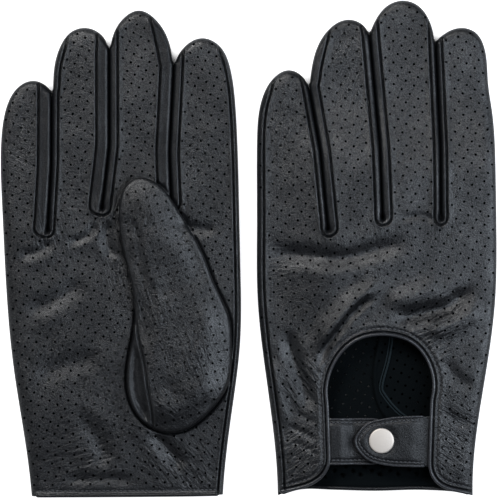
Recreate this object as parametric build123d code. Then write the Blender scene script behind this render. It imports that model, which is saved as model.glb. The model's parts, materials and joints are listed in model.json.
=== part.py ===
from build123d import *
from dataclasses import dataclass
import math
import os

# A pair of unlined leather driving gloves that lie flat, side by side, fingers along +Y.
# The right glove lies palm up with its thumb folded over the palm. The left glove lies back up
# with its thumb folded beneath it. Each glove is cut as the real one is: a palm panel, a back
# panel with a keyhole opening, forked strips between the fingers, a set-in thumb with a gusset,
# and a wrist strap with a press stud.
#
# Inside the model of one glove, "depth" is measured from the outer face of the back towards the
# palm. x runs from the little finger to the index finger and y from the hem to the fingertips.

# ------------------------------------------------------------------ driving dimensions (mm)
LEATHER = 1.0  # thickness of every leather piece
CLEARANCE = 0.2  # space between neighbouring pieces
HAND_DEPTH = 12.0  # outer face of the back to outer face of the palm
SLIT = 1.2  # space between two fingers that lie side by side
HINGE_GAP = 0.4  # space between the two sides of a bend
HEM_BINDING = 1.0  # height of the rolled hem on the palm
EDGE_BINDING = 1.3  # width of the rolled edge round the keyhole
EDGE_BINDING_DEPTH = 1.8
EDGE_STITCH_INSET = 3.1  # keyhole edge to the row of stitches beside it
THREAD = 0.5  # width of a row of stitches
THREAD_DEPTH = 0.35
GROOVE_ROOM = 0.1  # space round the thread in its groove

CAP_RADIUS = 6.25  # line 20 press stud
CAP_DEPTH = 1.3
CAP_CROWN = 0.5  # rise of the cap's domed face
CAP_RECESS = 0.1  # cap below the outer face of the back
CAP_TAB_DEPTH = 1.5  # outer face of the upper tab
SOCKET_RADIUS = 5.0
SOCKET_DEPTH = 1.8
SOCKET_BORE = 2.3
SOCKET_WEB = 0.3  # share of the socket's depth that is its solid web
SHANK_RADIUS = 1.4
STUD_RADIUS = 4.5
STUD_HEAD_RADIUS = 1.9
STUD_HEAD_DEPTH = 1.0
STUD_FLANGE = 0.4
STUD_BORE = 1.2
POST_RADIUS = 4.0
POST_SHANK_RADIUS = 1.0
POST_FLANGE = 0.5
SNAP_ROOM = 0.1  # running space between the parts of the press stud
SNAP_CENTRE = (3.15, 28.1)

STRAP_EDGE = 27.3  # x of the keyhole edge that carries the upper tab
STUD_EDGE = -23.0  # x of the keyhole edge that carries the lower tab
TAB_TUCK = 6.0  # length of tab sewn under the panel
THUMB_BEND = 90.0  # y of the line where the folded thumb lifts

PAIR_MIDDLE_Y = 123.85  # half the length of the pair, so that the origin is in its middle


@dataclass
class Lay:
    """How one glove lies: its outline, the lines between its fingers, and where they bend."""

    side: str
    middle_x: float
    thumb_depth: float
    little_side: list  # from the hem up to the little fingertip
    index_side: list  # from the index fingertip down to the hem
    tips: list  # points round each fingertip, little finger first
    gaps: list  # crotch, middle and top of the line between two fingers
    lean: float  # degrees that the fingers lean towards the little-finger side
    bends: list  # x and y of the middle of each finger's bend


RIGHT = Lay(
    side="right",
    middle_x=-60.7,
    thumb_depth=8.5,
    little_side=[
        (-47.4, 0.2), (-50.2, 24.1), (-56.4, 63.7), (-60.1, 103.2), (-62.2, 145.0), (-62.4, 181.0),
    ],
    index_side=[
        (54.4, 192.7), (55.7, 161.0), (56.7, 115.0), (56.5, 75.5), (52.7, 44.0), (48.0, 1.0),
    ],
    tips=[
        [(-58.8, 197.5), (-54.8, 203.7), (-46.9, 207.5), (-40.6, 205.3)],
        [(-36.2, 214.0), (-33.0, 225.0), (-27.5, 232.0), (-20.8, 233.9), (-13.8, 231.4)],
        [(-7.4, 228.3), (-1.8, 238.5), (6.0, 242.6), (14.8, 237.7), (21.6, 225.0)],
        [(28.7, 224.3), (37.8, 228.8), (46.8, 224.4), (51.6, 214.0)],
    ],
    gaps=[
        [(-39.4, 132.0), (-37.5, 165.0), (-37.3, 202.3)],
        [(-12.3, 143.0), (-8.6, 175.0), (-8.7, 222.8)],
        [(22.4, 145.0), (21.4, 172.0), (23.5, 213.3)],
    ],
    lean=0.0,
    bends=[(-50.0, 170.0), (-23.0, 185.0), (7.0, 193.0), (38.0, 183.0)],
)

LEFT = Lay(
    side="left",
    middle_x=63.05,
    thumb_depth=5.0,
    little_side=[
        (-48.4, 0.7), (-51.5, 39.7), (-55.3, 67.5), (-58.5, 99.2), (-58.8, 135.0), (-58.8, 176.6),
    ],
    index_side=[
        (58.5, 192.5), (60.1, 164.7), (60.6, 128.9), (60.0, 99.2), (56.2, 67.4), (52.3, 43.6), (48.7, 0.7),
    ],
    tips=[
        [(-55.6, 200.4), (-50.5, 208.8), (-42.9, 212.8), (-36.8, 210.3)],
        [(-30.3, 219.4), (-24.5, 231.3), (-13.5, 238.0), (-7.2, 236.3)],
        [(0.8, 238.5), (7.0, 245.4), (14.5, 247.5), (21.4, 245.2), (26.4, 239.3)],
        [(34.9, 231.0), (43.7, 233.9), (50.8, 231.2), (54.4, 225.0), (56.6, 206.0)],
    ],
    gaps=[
        [(-23.3, 132.5), (-27.3, 173.0), (-33.0, 205.1)],
        [(3.8, 138.0), (2.4, 175.0), (-2.8, 231.7)],
        [(32.8, 138.0), (32.6, 175.0), (30.2, 227.4)],
    ],
    lean=5.0,
    bends=[(-43.5, 175.0), (-13.5, 190.0), (16.0, 198.0), (45.5, 188.0)],
)

FINGERS = ["pinky", "ring", "middle", "index"]

# The thumb, folded flat over the palm: tip first, then clockwise round the set-in base.
THUMB = [
    (7.5, 159.3), (15.8, 156.0), (25.5, 143.2), (37.2, 123.0), (44.8, 104.0), (51.5, 89.0), (52.6, 73.5),
    (50.6, 55.5), (40.4, 41.3), (27.0, 32.4), (12.2, 34.2), (2.9, 44.5), (0.0, 62.5), (4.0, 87.5),
    (2.0, 109.5), (-2.5, 127.5), (-3.8, 142.0), (-1.5, 153.5),
]
GUSSET_CREASE = [(4.6, 88.5), (6.4, 76.6), (8.7, 66.8), (10.5, 53.4), (12.6, 42.0), (14.0, 26.0)]
GUSSET_RISE = 0.4  # share of the thumb's depth that the gusset climbs
THUMB_HOLE = (27.0, 62.0, 15.0, 19.0)  # centre x, centre y, half width, half height

# The keyhole: its left side from the hem up, its arch, and its right side down to the hem.
KEYHOLE_FLARE_LEFT = [(-47.7, 2.3), (-35.0, 5.1), (-26.5, 10.0), (STUD_EDGE, 16.5)]
KEYHOLE_ARCH = [
    (-23.6, 46.0), (-20.7, 65.9), (-9.5, 78.0), (4.5, 80.8), (18.5, 76.8), (27.6, 64.0), (27.9, 48.0),
]
KEYHOLE_FLARE_RIGHT = [(STRAP_EDGE, 16.0), (32.6, 6.0), (38.9, 3.4), (47.7, 1.4)]

# The upper tab, from its sewn end's far corner round its point and back.
CAP_TAB_OUTLINE = [
    (20.0, 40.3), (8.8, 39.7), (-2.4, 37.3), (-8.0, 32.5), (-10.0, 27.9), (-8.0, 23.0), (-2.4, 18.2),
    (7.2, 15.9), (20.0, 15.3),
]
CAP_TAB_STITCH_INSET = 1.5
STUD_TAB_LOW_Y = 16.4
STUD_TAB_HIGH_Y = 39.0
STUD_TAB_END_X = 9.5
STUD_TAB_SLOPE = (-16.5, -11.5)  # x where the lower tab leaves the panel, and where it is level again

FAR = 300.0  # size of the masks that cut an outline


# ------------------------------------------------------------------ plane geometry
def moved(points, distance):
    """An open run of points, each moved to the right of the run's direction."""
    result = []
    for index, (x, y) in enumerate(points):
        x0, y0 = points[max(index - 1, 0)]
        x1, y1 = points[min(index + 1, len(points) - 1)]
        length = math.hypot(x1 - x0, y1 - y0)
        result.append((x + (y1 - y0) / length * distance, y - (x1 - x0) / length * distance))
    return result


def moved_ring(points, distance):
    """A closed run of points, each moved to the right of the run's direction."""
    return moved([points[-1], *points, points[0]], distance)[1:-1]


def silhouette(lay, inset=0.0):
    """The whole hand outline of one glove, moved inwards everywhere but along the hem."""
    half = SLIT / 2 + inset
    edges = []
    start = (lay.little_side[0][0] + inset, lay.little_side[0][1] - inset)
    first_point = start
    for number, tip in enumerate(lay.tips):
        last = number == len(lay.gaps)
        run = (lay.little_side[1:] if number == 0 else []) + tip + (lay.index_side[:-1] if last else [])
        if last:
            end = (lay.index_side[-1][0] - inset, lay.index_side[-1][1] - inset)
        else:
            crotch, middle, top = lay.gaps[number]
            end = (top[0] - half, top[1] - inset)
        edges.append(Spline(*[start, *moved([start, *run, end], inset)[1:-1], end]))
        if last:
            edges.append(Line(end, first_point))
            continue
        start = (top[0] + half, top[1] - inset)
        edges.append(Polyline(
            end, (middle[0] - half, middle[1]), (crotch[0] - half, crotch[1] - inset),
            (crotch[0] + half, crotch[1] - inset), (middle[0] + half, middle[1]), start,
        ))
    return make_face(edges)


def beyond_bend(lay, finger, clearance):
    """Everything on the fingertip side of one finger's bend."""
    mask = Rectangle(FAR, FAR, align=(Align.CENTER, Align.MIN))
    return Pos(*lay.bends[finger]) * Rot(0, 0, lay.lean) * Pos(0, clearance) * mask


def beside_finger(lay, finger, sign):
    """Everything on the index side (sign 1) or little-finger side (-1) of a finger's own centre line."""
    mask = Rectangle(FAR, FAR, align=(Align.MIN if sign > 0 else Align.MAX, Align.CENTER))
    return Pos(*lay.bends[finger]) * Rot(0, 0, lay.lean) * Pos(sign * CLEARANCE / 2, 0) * mask


def finger_mask(lay, finger, clearance):
    """The space of one finger beyond its bend, between the lines to its neighbours."""

    def line_up(gap):
        crotch, middle, top = gap
        reach = FAR / (top[1] - middle[1])
        return [crotch, middle, (middle[0] + (top[0] - middle[0]) * reach, middle[1] + FAR)]

    left = line_up(lay.gaps[finger - 1]) if finger > 0 else [(-FAR, 0), (-FAR, FAR)]
    right = line_up(lay.gaps[finger]) if finger < len(lay.gaps) else [(FAR, 0), (FAR, FAR)]
    between = make_face(Polyline(*left, *reversed(right), close=True))
    return between & beyond_bend(lay, finger, clearance)


def above_hem(clearance):
    return Pos(0, clearance) * Rectangle(FAR, FAR, align=(Align.CENTER, Align.MIN))


def keyhole(outset=0.0):
    """The keyhole opening, grown by a distance, and run out past the hem."""
    left = moved(KEYHOLE_FLARE_LEFT, -outset)
    arch = moved(KEYHOLE_ARCH, -outset)
    right = moved(KEYHOLE_FLARE_RIGHT, -outset)
    run_out = [(right[-1][0] + FAR, right[-1][1]), (FAR, -FAR), (-FAR, -FAR), (left[0][0] - FAR, left[0][1])]
    edges = [
        Spline(*left), Line(left[-1], arch[0]), Spline(*arch), Line(arch[-1], right[0]),
        Spline(*right), Polyline(right[-1], *run_out, left[0]),
    ]
    return make_face(edges)


def thumb_outline(inset=0.0):
    return make_face(Spline(*moved_ring(THUMB, inset), periodic=True))


def gusset_side(shift=0.0):
    """Everything on the outer side of the crease between the thumb and its gusset."""
    crease = [(x - shift, y) for x, y in GUSSET_CREASE]
    return make_face([
        Spline(*crease),
        Polyline(crease[-1], (-FAR, crease[-1][1]), (-FAR, crease[0][1]), crease[0]),
    ])


def cap_tab_outline(inset=0.0):
    """The upper tab with its rounded point. Its other end stops at the strap hinge."""
    run = moved(list(reversed(CAP_TAB_OUTLINE)), inset)
    end_x = STRAP_EDGE - HINGE_GAP + inset
    low = (end_x, run[0][1])
    high = (end_x, run[-1][1])
    return make_face([Line(low, run[0]), Spline(*run), Polyline(run[-1], high, low)])


# ------------------------------------------------------------------ solids
def slab(region, depth, thickness):
    """One solid of a flat region, from a depth on."""
    return extrude(Pos(0, 0, depth) * region, amount=thickness)


def disc(radius, depth, thickness):
    return Pos(SNAP_CENTRE[0], SNAP_CENTRE[1], depth) * Cylinder(
        radius, thickness, align=(Align.CENTER, Align.CENTER, Align.MIN)
    )


def snap_cap():
    """A low dome with the shank that goes through the tab."""
    dome_radius = (CAP_RADIUS**2 + CAP_CROWN**2) / (2 * CAP_CROWN)
    dome = disc(CAP_RADIUS, CAP_RECESS, CAP_DEPTH)
    dome &= Pos(SNAP_CENTRE[0], SNAP_CENTRE[1], CAP_RECESS + dome_radius) * Sphere(dome_radius)
    shank_end = CAP_TAB_DEPTH + LEATHER + SOCKET_DEPTH * SOCKET_WEB
    return dome + disc(SHANK_RADIUS, CAP_DEPTH, shank_end - CAP_DEPTH)


def snap_depths():
    """Where each part of the press stud's lower half starts."""
    socket = CAP_TAB_DEPTH + LEATHER + SNAP_ROOM
    flange = socket + SOCKET_DEPTH + SNAP_ROOM
    lower_tab = flange + STUD_FLANGE + SNAP_ROOM
    return socket, flange, lower_tab


def strap_parts():
    """The two tabs and the press stud, by node name."""
    socket_depth, flange_depth, tab_depth = snap_depths()
    hole = SHANK_RADIUS + SNAP_ROOM
    outline = cap_tab_outline()
    cap_tab = slab(outline, CAP_TAB_DEPTH, LEATHER) - disc(hole, 0, HAND_DEPTH)
    thread = cap_tab_outline(CAP_TAB_STITCH_INSET) - cap_tab_outline(CAP_TAB_STITCH_INSET + THREAD)
    groove = cap_tab_outline(CAP_TAB_STITCH_INSET - GROOVE_ROOM) - cap_tab_outline(
        CAP_TAB_STITCH_INSET + THREAD + GROOVE_ROOM
    )
    cap_tab -= slab(groove, CAP_TAB_DEPTH, THREAD_DEPTH + GROOVE_ROOM)
    web = SOCKET_DEPTH * SOCKET_WEB
    socket = disc(SOCKET_RADIUS, socket_depth, SOCKET_DEPTH) - disc(hole, socket_depth, web)
    socket -= disc(SOCKET_BORE, socket_depth + web, SOCKET_DEPTH)
    stud = disc(STUD_RADIUS, flange_depth, STUD_FLANGE)
    stud += disc(STUD_HEAD_RADIUS, flange_depth - STUD_HEAD_DEPTH, STUD_HEAD_DEPTH)
    stud -= disc(STUD_BORE, flange_depth - STUD_HEAD_DEPTH / 2, HAND_DEPTH)
    post = disc(POST_RADIUS, tab_depth + LEATHER + SNAP_ROOM, POST_FLANGE)
    post += disc(POST_SHANK_RADIUS, flange_depth, tab_depth + LEATHER + SNAP_ROOM - flange_depth)
    return {
        "cap_tab": cap_tab,
        "cap_tab_root": cap_tab_root(),
        "stud_tab": stud_tab(tab_depth) - disc(STUD_BORE, 0, HAND_DEPTH),
        "snap_cap": snap_cap(),
        "snap_socket": socket,
        "snap_stud": stud,
        "snap_post": post,
        "cap_tab_stitching": slab(thread & outline, CAP_TAB_DEPTH, THREAD_DEPTH),
    }


def cap_tab_root():
    """The end of the upper tab that is sewn under the panel, beside the strap hinge."""
    low_y = CAP_TAB_OUTLINE[-1][1]
    high_y = CAP_TAB_OUTLINE[0][1]
    end = Rectangle(TAB_TUCK, high_y - low_y, align=(Align.MIN, Align.MIN))
    return slab(Pos(STRAP_EDGE + HINGE_GAP, low_y) * end, EDGE_BINDING_DEPTH + CLEARANCE, LEATHER)


def stud_tab(depth):
    """The lower tab: sewn under the panel, then sloping down to pass beneath the upper one."""
    sewn = EDGE_BINDING_DEPTH + CLEARANCE
    slope_start, slope_end = STUD_TAB_SLOPE
    run = [(STUD_EDGE - TAB_TUCK, sewn), (slope_start, sewn), (slope_end, depth), (STUD_TAB_END_X, depth)]
    back = [(x, z + LEATHER) for x, z in reversed(run)]
    profile = Plane.XZ * make_face(Polyline(*run, *back, close=True))
    width = STUD_TAB_HIGH_Y - STUD_TAB_LOW_Y
    strip = Pos(0, STUD_TAB_HIGH_Y, 0) * extrude(profile, amount=width)
    end_radius = width / 2
    outline = Pos(STUD_TAB_END_X - end_radius, STUD_TAB_LOW_Y + end_radius) * Circle(end_radius)
    outline += Pos(STUD_TAB_END_X - end_radius, STUD_TAB_LOW_Y) * Rectangle(
        FAR, width, align=(Align.MAX, Align.MIN)
    )
    return strip & slab(outline, 0, HAND_DEPTH)


def thumb_parts(lay):
    """The folded thumb: a fixed root and gusset, and the two faces that lift."""
    bottom = HAND_DEPTH + CLEARANCE
    depth = lay.thumb_depth
    outline = thumb_outline()
    rim = outline - thumb_outline(LEATHER)
    tip_side = Pos(0, THUMB_BEND + HINGE_GAP / 2) * Rectangle(FAR, FAR, align=(Align.CENTER, Align.MIN))
    root_side = Pos(0, THUMB_BEND - HINGE_GAP / 2) * Rectangle(FAR, FAR, align=(Align.CENTER, Align.MAX))
    beside_crease = root_side - gusset_side(-CLEARANCE)
    wall_depth = depth - 2 * LEATHER - CLEARANCE
    front = slab(outline & tip_side, bottom + depth - LEATHER, LEATHER)
    front += slab(rim & tip_side, bottom + LEATHER + CLEARANCE, wall_depth)
    back = slab(outline & tip_side, bottom, LEATHER)
    root = slab(outline & beside_crease, bottom + depth - LEATHER, LEATHER)
    root += slab(rim & beside_crease, bottom, depth - LEATHER)
    gusset_area = outline & gusset_side() & root_side
    rise = depth * GUSSET_RISE
    gusset = slab(gusset_area, bottom + rise, LEATHER) + slab(gusset_area & rim, bottom, rise)
    return {"thumb_front": front, "thumb_back": back, "thumb_root": root, "thumb_gusset": gusset}


def finger_parts(lay, ring):
    """Front, back and side strips of each finger, beyond its bend."""
    parts = {}
    hand = silhouette(lay)
    strip_depth = LEATHER + CLEARANCE
    strip_thickness = HAND_DEPTH - 2 * strip_depth
    for number, name in enumerate(FINGERS):
        mask = finger_mask(lay, number, HINGE_GAP / 2)
        face = hand & mask
        back = slab(face, 0, LEATHER)
        front = slab(face, HAND_DEPTH - LEATHER, LEATHER)
        little_half = ring & mask & beside_finger(lay, number, -1)
        index_half = ring & mask & beside_finger(lay, number, 1)
        if name == "pinky":
            # The palm leather wraps round the outside of the little finger.
            front += slab(little_half, strip_depth, strip_thickness + CLEARANCE)
            parts["pinky_fourchette"] = slab(index_half, strip_depth, strip_thickness)
        elif name == "index":
            # The back leather wraps round the outside of the index finger.
            back += slab(index_half, LEATHER, strip_thickness + CLEARANCE)
            parts["index_fourchette"] = slab(little_half, strip_depth, strip_thickness)
        else:
            halves = [slab(half, strip_depth, strip_thickness) for half in (little_half, index_half)]
            parts[name + "_fourchettes"] = halves[0] + halves[1]
        parts[name + "_front"] = front
        parts[name + "_back"] = back
    return parts


def panel_parts(lay, ring):
    """The palm and back panels up to the finger bends, with the roots of the forked strips."""
    fingers = Sketch()
    for number in range(len(FINGERS)):
        fingers += finger_mask(lay, number, -HINGE_GAP / 2)
    hand = silhouette(lay) - fingers
    hem_top = lay.index_side[-1][1] + HEM_BINDING
    opening = keyhole(EDGE_BINDING + CLEARANCE)
    rim = ((ring - fingers) & above_hem(hem_top + CLEARANCE)) - opening
    little_edge = (lay.little_side[0][0] + lay.gaps[0][0][0]) / 2
    index_edge = (lay.index_side[-1][0] + lay.gaps[-1][0][0]) / 2
    little_rim = rim & (Pos(little_edge, 0) * Rectangle(FAR, 2 * FAR, align=(Align.MAX, Align.CENTER)))
    index_rim = rim & (Pos(index_edge, 0) * Rectangle(FAR, 2 * FAR, align=(Align.MIN, Align.CENTER)))
    little_rim = largest(little_rim, 1)
    index_rim = largest(index_rim, 1)
    forks = rim - little_rim - index_rim
    strip_depth = LEATHER + CLEARANCE
    strip_thickness = HAND_DEPTH - 2 * strip_depth

    hole_x, hole_y, hole_half_width, hole_half_height = THUMB_HOLE
    palm_area = (hand & above_hem(hem_top + CLEARANCE)) - Pos(hole_x, hole_y) * Ellipse(
        hole_half_width, hole_half_height
    )
    palm = slab(palm_area, HAND_DEPTH - LEATHER, LEATHER)
    palm += slab(little_rim, strip_depth, strip_thickness + CLEARANCE)

    thread = keyhole(EDGE_STITCH_INSET + THREAD) - keyhole(EDGE_STITCH_INSET)
    groove = keyhole(EDGE_STITCH_INSET + THREAD + GROOVE_ROOM) - keyhole(EDGE_STITCH_INSET - GROOVE_ROOM)
    back_area = hand - opening
    stitch_area = largest(thread & silhouette(lay, LEATHER + CLEARANCE), 1)
    back = slab(back_area, 0, LEATHER) - slab(groove, 0, THREAD_DEPTH + GROOVE_ROOM)
    back += slab(index_rim, LEATHER, strip_thickness + CLEARANCE)
    binding_area = (keyhole(EDGE_BINDING) - keyhole()) & hand
    hem_area = hand - above_hem(hem_top)
    return {
        "palm_panel": palm,
        "back_panel": back,
        "fourchette_roots": slab(forks, strip_depth, strip_thickness),
        "keyhole_binding": slab(binding_area, 0, EDGE_BINDING_DEPTH),
        "cuff_binding": slab(hem_area, HAND_DEPTH - EDGE_BINDING_DEPTH, EDGE_BINDING_DEPTH),
        "edge_stitching": slab(stitch_area, 0, THREAD_DEPTH),
    }


def largest(region, count):
    """The biggest separate faces of a region."""
    return Sketch() + sorted(region.faces(), key=lambda face: face.area)[-count:]


def glove_parts(lay):
    """Every piece of one glove, in its own depth coordinates."""
    ring = silhouette(lay) - silhouette(lay, LEATHER)
    parts = panel_parts(lay, ring)
    parts.update(finger_parts(lay, ring))
    parts.update(thumb_parts(lay))
    parts.update(strap_parts())
    return parts


def place(shape, lay):
    """Lay a glove down: the right one on its back, the left one palm down."""
    offset = Pos(lay.middle_x, -PAIR_MIDDLE_Y, 0)
    if lay.side == "right":
        return offset * shape
    height = HAND_DEPTH + CLEARANCE + lay.thumb_depth
    return offset * Pos(0, 0, height) * mirror(shape, about=Plane.XY)


os.makedirs("parts", exist_ok=True)
for lay in (RIGHT, LEFT):
    for name, shape in glove_parts(lay).items():
        solids = [place(solid, lay) for solid in shape.solids()]
        piece = solids[0] if len(solids) == 1 else Compound(children=solids)
        export_step(piece, f"parts/{lay.side}_{name}.step")
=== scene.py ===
import json
import math

import bpy
import numpy as np
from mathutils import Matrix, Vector, kdtree, noise
from mathutils.geometry import delaunay_2d_cdt


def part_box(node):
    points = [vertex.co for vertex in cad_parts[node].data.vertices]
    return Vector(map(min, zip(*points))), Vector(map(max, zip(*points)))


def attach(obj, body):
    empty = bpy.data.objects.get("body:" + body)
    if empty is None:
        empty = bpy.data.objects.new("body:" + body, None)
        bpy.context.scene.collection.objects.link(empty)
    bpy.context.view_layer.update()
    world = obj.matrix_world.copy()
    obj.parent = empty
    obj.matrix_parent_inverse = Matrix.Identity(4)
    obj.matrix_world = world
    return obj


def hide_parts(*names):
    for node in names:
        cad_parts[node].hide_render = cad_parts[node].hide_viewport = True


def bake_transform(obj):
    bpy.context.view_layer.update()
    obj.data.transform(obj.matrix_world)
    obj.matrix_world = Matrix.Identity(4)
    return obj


# A pair of perforated leather driving gloves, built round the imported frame.
#
# Each glove is modelled in its own millimetres: x from the little finger to the index finger, y from
# the hem to the fingertips, and "depth" from the outer face of the back (0) towards the palm. The
# right glove lies palm up, so its depth is height. The left glove lies back up, so its depth runs down.
# The leather of each side is one triangulated sheet with real perforations. It is cut into the pieces
# that the real glove is sewn from, and every piece keeps the normals of the whole sheet.

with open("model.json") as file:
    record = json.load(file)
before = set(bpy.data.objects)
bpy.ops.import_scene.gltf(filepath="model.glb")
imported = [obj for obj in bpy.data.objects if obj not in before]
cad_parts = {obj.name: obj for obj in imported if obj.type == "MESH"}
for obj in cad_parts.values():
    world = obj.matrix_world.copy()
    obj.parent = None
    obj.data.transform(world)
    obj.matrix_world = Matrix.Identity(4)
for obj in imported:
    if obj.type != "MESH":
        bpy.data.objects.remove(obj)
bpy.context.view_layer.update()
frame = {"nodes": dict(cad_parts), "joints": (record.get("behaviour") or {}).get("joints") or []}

MM = 0.001
FINGERS = ["pinky", "ring", "middle", "index"]

# ---------------------------------------------------------------- sizes (mm)
SNAP_IN_GLOVE = (3.15, 28.1)  # where the press stud sits in glove coordinates
OUTLINE_STEP = 0.9
SHEET_STEP = 1.45
RIM_ROWS = (0.12, 0.5, 1.1, 1.75, 2.4, 3.3)  # distances of the extra rows of points inside an outline
SEAM_ROWS = (0.22, 0.45, 0.8, 1.25, 1.9)
LEATHER = 0.7
CLEARANCE = 0.2  # between a sagging glove and the table
ROLL = 6.0  # how far in the rounded rim of a finger or hand reaches
GAP_ROLL = 2.3  # the same where two fingers touch
ROLL_POWER = 2.8  # 2 is a quarter circle, and a higher power is squarer
HOLE_RADIUS = 0.62
HOLE_SIDES = 8
# the two directions of the rows of holes: spacing in mm and angle in degrees
PALM_ROWS = ((4.3, -28.0), (4.56, 68.0))
BACK_ROWS = ((4.74, -31.0), (4.62, 64.6))
THUMB_ROWS = ((4.4, 16.0), (4.4, 106.0))
HOLES_CENTRE = (0.0, 120.0)
HOLE_JITTER = 0.18
HOLE_SEAM_MARGIN = 1.4
HOLE_RIM_MARGIN = 1.3
HOLE_FLOOR_MARGIN = 6.0  # the same on the side that lies on the table
HOLE_EDGE_MARGIN = 4.4  # holes stay this far from the hem and the keyhole
SHADE_PLUG_BELOW = 32.0  # nearer the palm's hem than this, holes stop at the flesh side, so no table shows: the dark plug is painted shade for the table in the glove's shadow
BEND_REACH = 12.0  # each side of a finger's bend line
GAP_REACH = 1.75  # fingers closer than this swell towards each other
GAP_CLOSED = 1.35  # and closer than this they touch
TOUCHING = 0.03  # all but this much
ROW_STEP = 0.5  # spacing of the points that a row of stitches follows
STITCH_PITCH = 2.1
STITCH_LENGTH = 1.6
STITCH_RADIUS = 0.34
BINDING_RADIUS = 0.85
HEM_RADIUS = 0.95


# ---------------------------------------------------------------- small helpers
def smooth(value):
    t = np.clip(value, 0.0, 1.0)
    return t * t * (3 - 2 * t)


def bell(value):
    return np.exp(-value * value)


def cumulative(points):
    steps = np.hypot(*np.diff(points, axis=0).T)
    return np.concatenate([[0.0], np.cumsum(steps)])


def resample(points, step):
    """An open run of points, spaced evenly."""
    points = np.asarray(points, float)
    length = cumulative(points)
    count = max(2, int(round(length[-1] / step)) + 1)
    where = np.linspace(0, length[-1], count)
    return np.stack([np.interp(where, length, points[:, k]) for k in range(points.shape[1])], axis=1)


def rounded(points, passes):
    """An open run of points with its corners smoothed. Its ends stay."""
    points = points.copy()
    for _ in range(passes):
        points[1:-1] = 0.25 * points[:-2] + 0.5 * points[1:-1] + 0.25 * points[2:]
    return points


def unit(vectors):
    return vectors / np.maximum(np.linalg.norm(vectors, axis=1), 1e-12)[:, None]


def heading(degrees):
    """Unit vectors at angles from the x axis."""
    angle = np.radians(degrees)
    return np.stack([np.cos(angle), np.sin(angle)], axis=-1)


def right_normals(points):
    """Unit normals to the right of an open run's direction."""
    ahead = unit(np.gradient(points, axis=0))
    return np.stack([ahead[:, 1], -ahead[:, 0]], axis=1)


def curve(points, step=1.0):
    """A smooth curve through a few points (Catmull-Rom), spaced evenly."""
    points = np.asarray(points, float)
    padded = np.vstack([2 * points[0] - points[1], points, 2 * points[-1] - points[-2]])
    result = []
    for k in range(len(points) - 1):
        p0, p1, p2, p3 = padded[k:k + 4]
        t = np.linspace(0, 1, 16, endpoint=False)[:, None]
        result.append(
            0.5 * (2 * p1 + (p2 - p0) * t + (2 * p0 - 5 * p1 + 4 * p2 - p3) * t**2
                   + (3 * p1 - p0 - 3 * p2 + p3) * t**3)
        )
    return resample(np.vstack(result + [points[-1:]]), step)


def inside(points, polygon):
    """Which points lie inside a closed polygon."""
    x, y = points[:, 0], points[:, 1]
    result = np.zeros(len(points), bool)
    x0, y0 = polygon[-1]
    for x1, y1 in polygon:
        if y0 != y1:
            result ^= ((y0 > y) != (y1 > y)) & (x < (x1 - x0) * (y - y0) / (y1 - y0) + x0)
        x0, y0 = x1, y1
    return result


def tree_of(points):
    tree = kdtree.KDTree(len(points))
    for index, (x, y) in enumerate(points):
        tree.insert((x, y, 0.0), index)
    tree.balance()
    return tree


def clear_of(points, others, distance):
    """The points that are farther than a distance from all the others."""
    if not len(points) or not len(others):
        return points
    tree = tree_of(others)
    keep = [tree.find((x, y, 0.0))[2] > distance for x, y in points]
    return points[np.array(keep)]


class Path:
    """A run of points that can say how far away other points are."""

    def __init__(self, points):
        self.points = np.asarray(points, float)
        self.length = cumulative(self.points)
        self.tree = tree_of(self.points)

    def measure(self, points):
        """Distance, share of the length (0 to 1) and side (+1 right, -1 left) of each point."""
        nearest = np.array([self.tree.find((x, y, 0.0))[1] for x, y in points], int)
        best = np.full(len(points), np.inf)
        along = np.zeros(len(points))
        side = np.ones(len(points))
        for shift in (-1, 0):
            start = np.clip(nearest + shift, 0, len(self.points) - 2)
            a, b = self.points[start], self.points[start + 1]
            ab = b - a
            size = np.maximum((ab**2).sum(1), 1e-12)
            t = np.clip(((points - a) * ab).sum(1) / size, 0, 1)
            offset = points - (a + ab * t[:, None])
            distance = np.hypot(*offset.T)
            closer = distance < best
            best = np.where(closer, distance, best)
            along = np.where(closer, self.length[start] + t * np.sqrt(size), along)
            turn = ab[:, 1] * offset[:, 0] - ab[:, 0] * offset[:, 1]
            side = np.where(closer, np.where(turn >= 0, 1.0, -1.0), side)
        return best, along / max(self.length[-1], 1e-9), side

    def distance(self, points):
        return self.measure(points)[0]


def closed_path(ring):
    return Path(np.vstack([ring, ring[:1]]))


def profile(distance, reach):
    """Height of a rounded rim: 0 on the outline, 1 from reach inwards."""
    t = 1 - np.clip(distance / reach, 0, 1)
    return np.maximum(1 - t**ROLL_POWER, 0) ** (1 / ROLL_POWER)


def wavy(points, scale, seed):
    """Smooth seeded noise, about -1 to 1, at a length scale in mm."""
    return np.array([noise.noise(Vector((x / scale, y / scale, seed))) for x, y in points])


def waves(points, layers, seed):
    """Layers of smooth noise, each with its height and its length scale."""
    return sum(height * wavy(points, scale, seed + k) for k, (height, scale) in enumerate(layers))


# ---------------------------------------------------------------- filling an outline with triangles
def closed_normals(ring):
    return right_normals(np.vstack([ring[-1:], ring, ring[:1]]))[1:-1]


def rim_row(ring, row):
    """A row of points at a distance inside a clockwise ring, with fans at its inward corners."""
    edge = unit(np.roll(ring, -1, axis=0) - ring)
    after = np.arctan2(-edge[:, 0], edge[:, 1])
    turn = (after - np.roll(after, 1) + math.pi) % (2 * math.pi) - math.pi
    made = [ring + closed_normals(ring) * row]
    for k in np.nonzero(turn > 0.3)[0]:
        count = int(turn[k] * row / 0.6)
        share = (np.arange(count) + 0.5) / max(count, 1)
        angle = after[k] - turn[k] * share
        made.append(ring[k] + row * np.stack([np.cos(angle), np.sin(angle)], axis=1))
    return np.vstack(made)


def hex_grid(low, high, step):
    rows = np.arange(low[1], high[1], step * math.sqrt(3) / 2)
    made = []
    for number, y in enumerate(rows):
        x = np.arange(low[0] + (number % 2) * step / 2, high[0], step)
        made.append(np.stack([x, np.full(len(x), y)], axis=1))
    return np.vstack(made)


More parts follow.
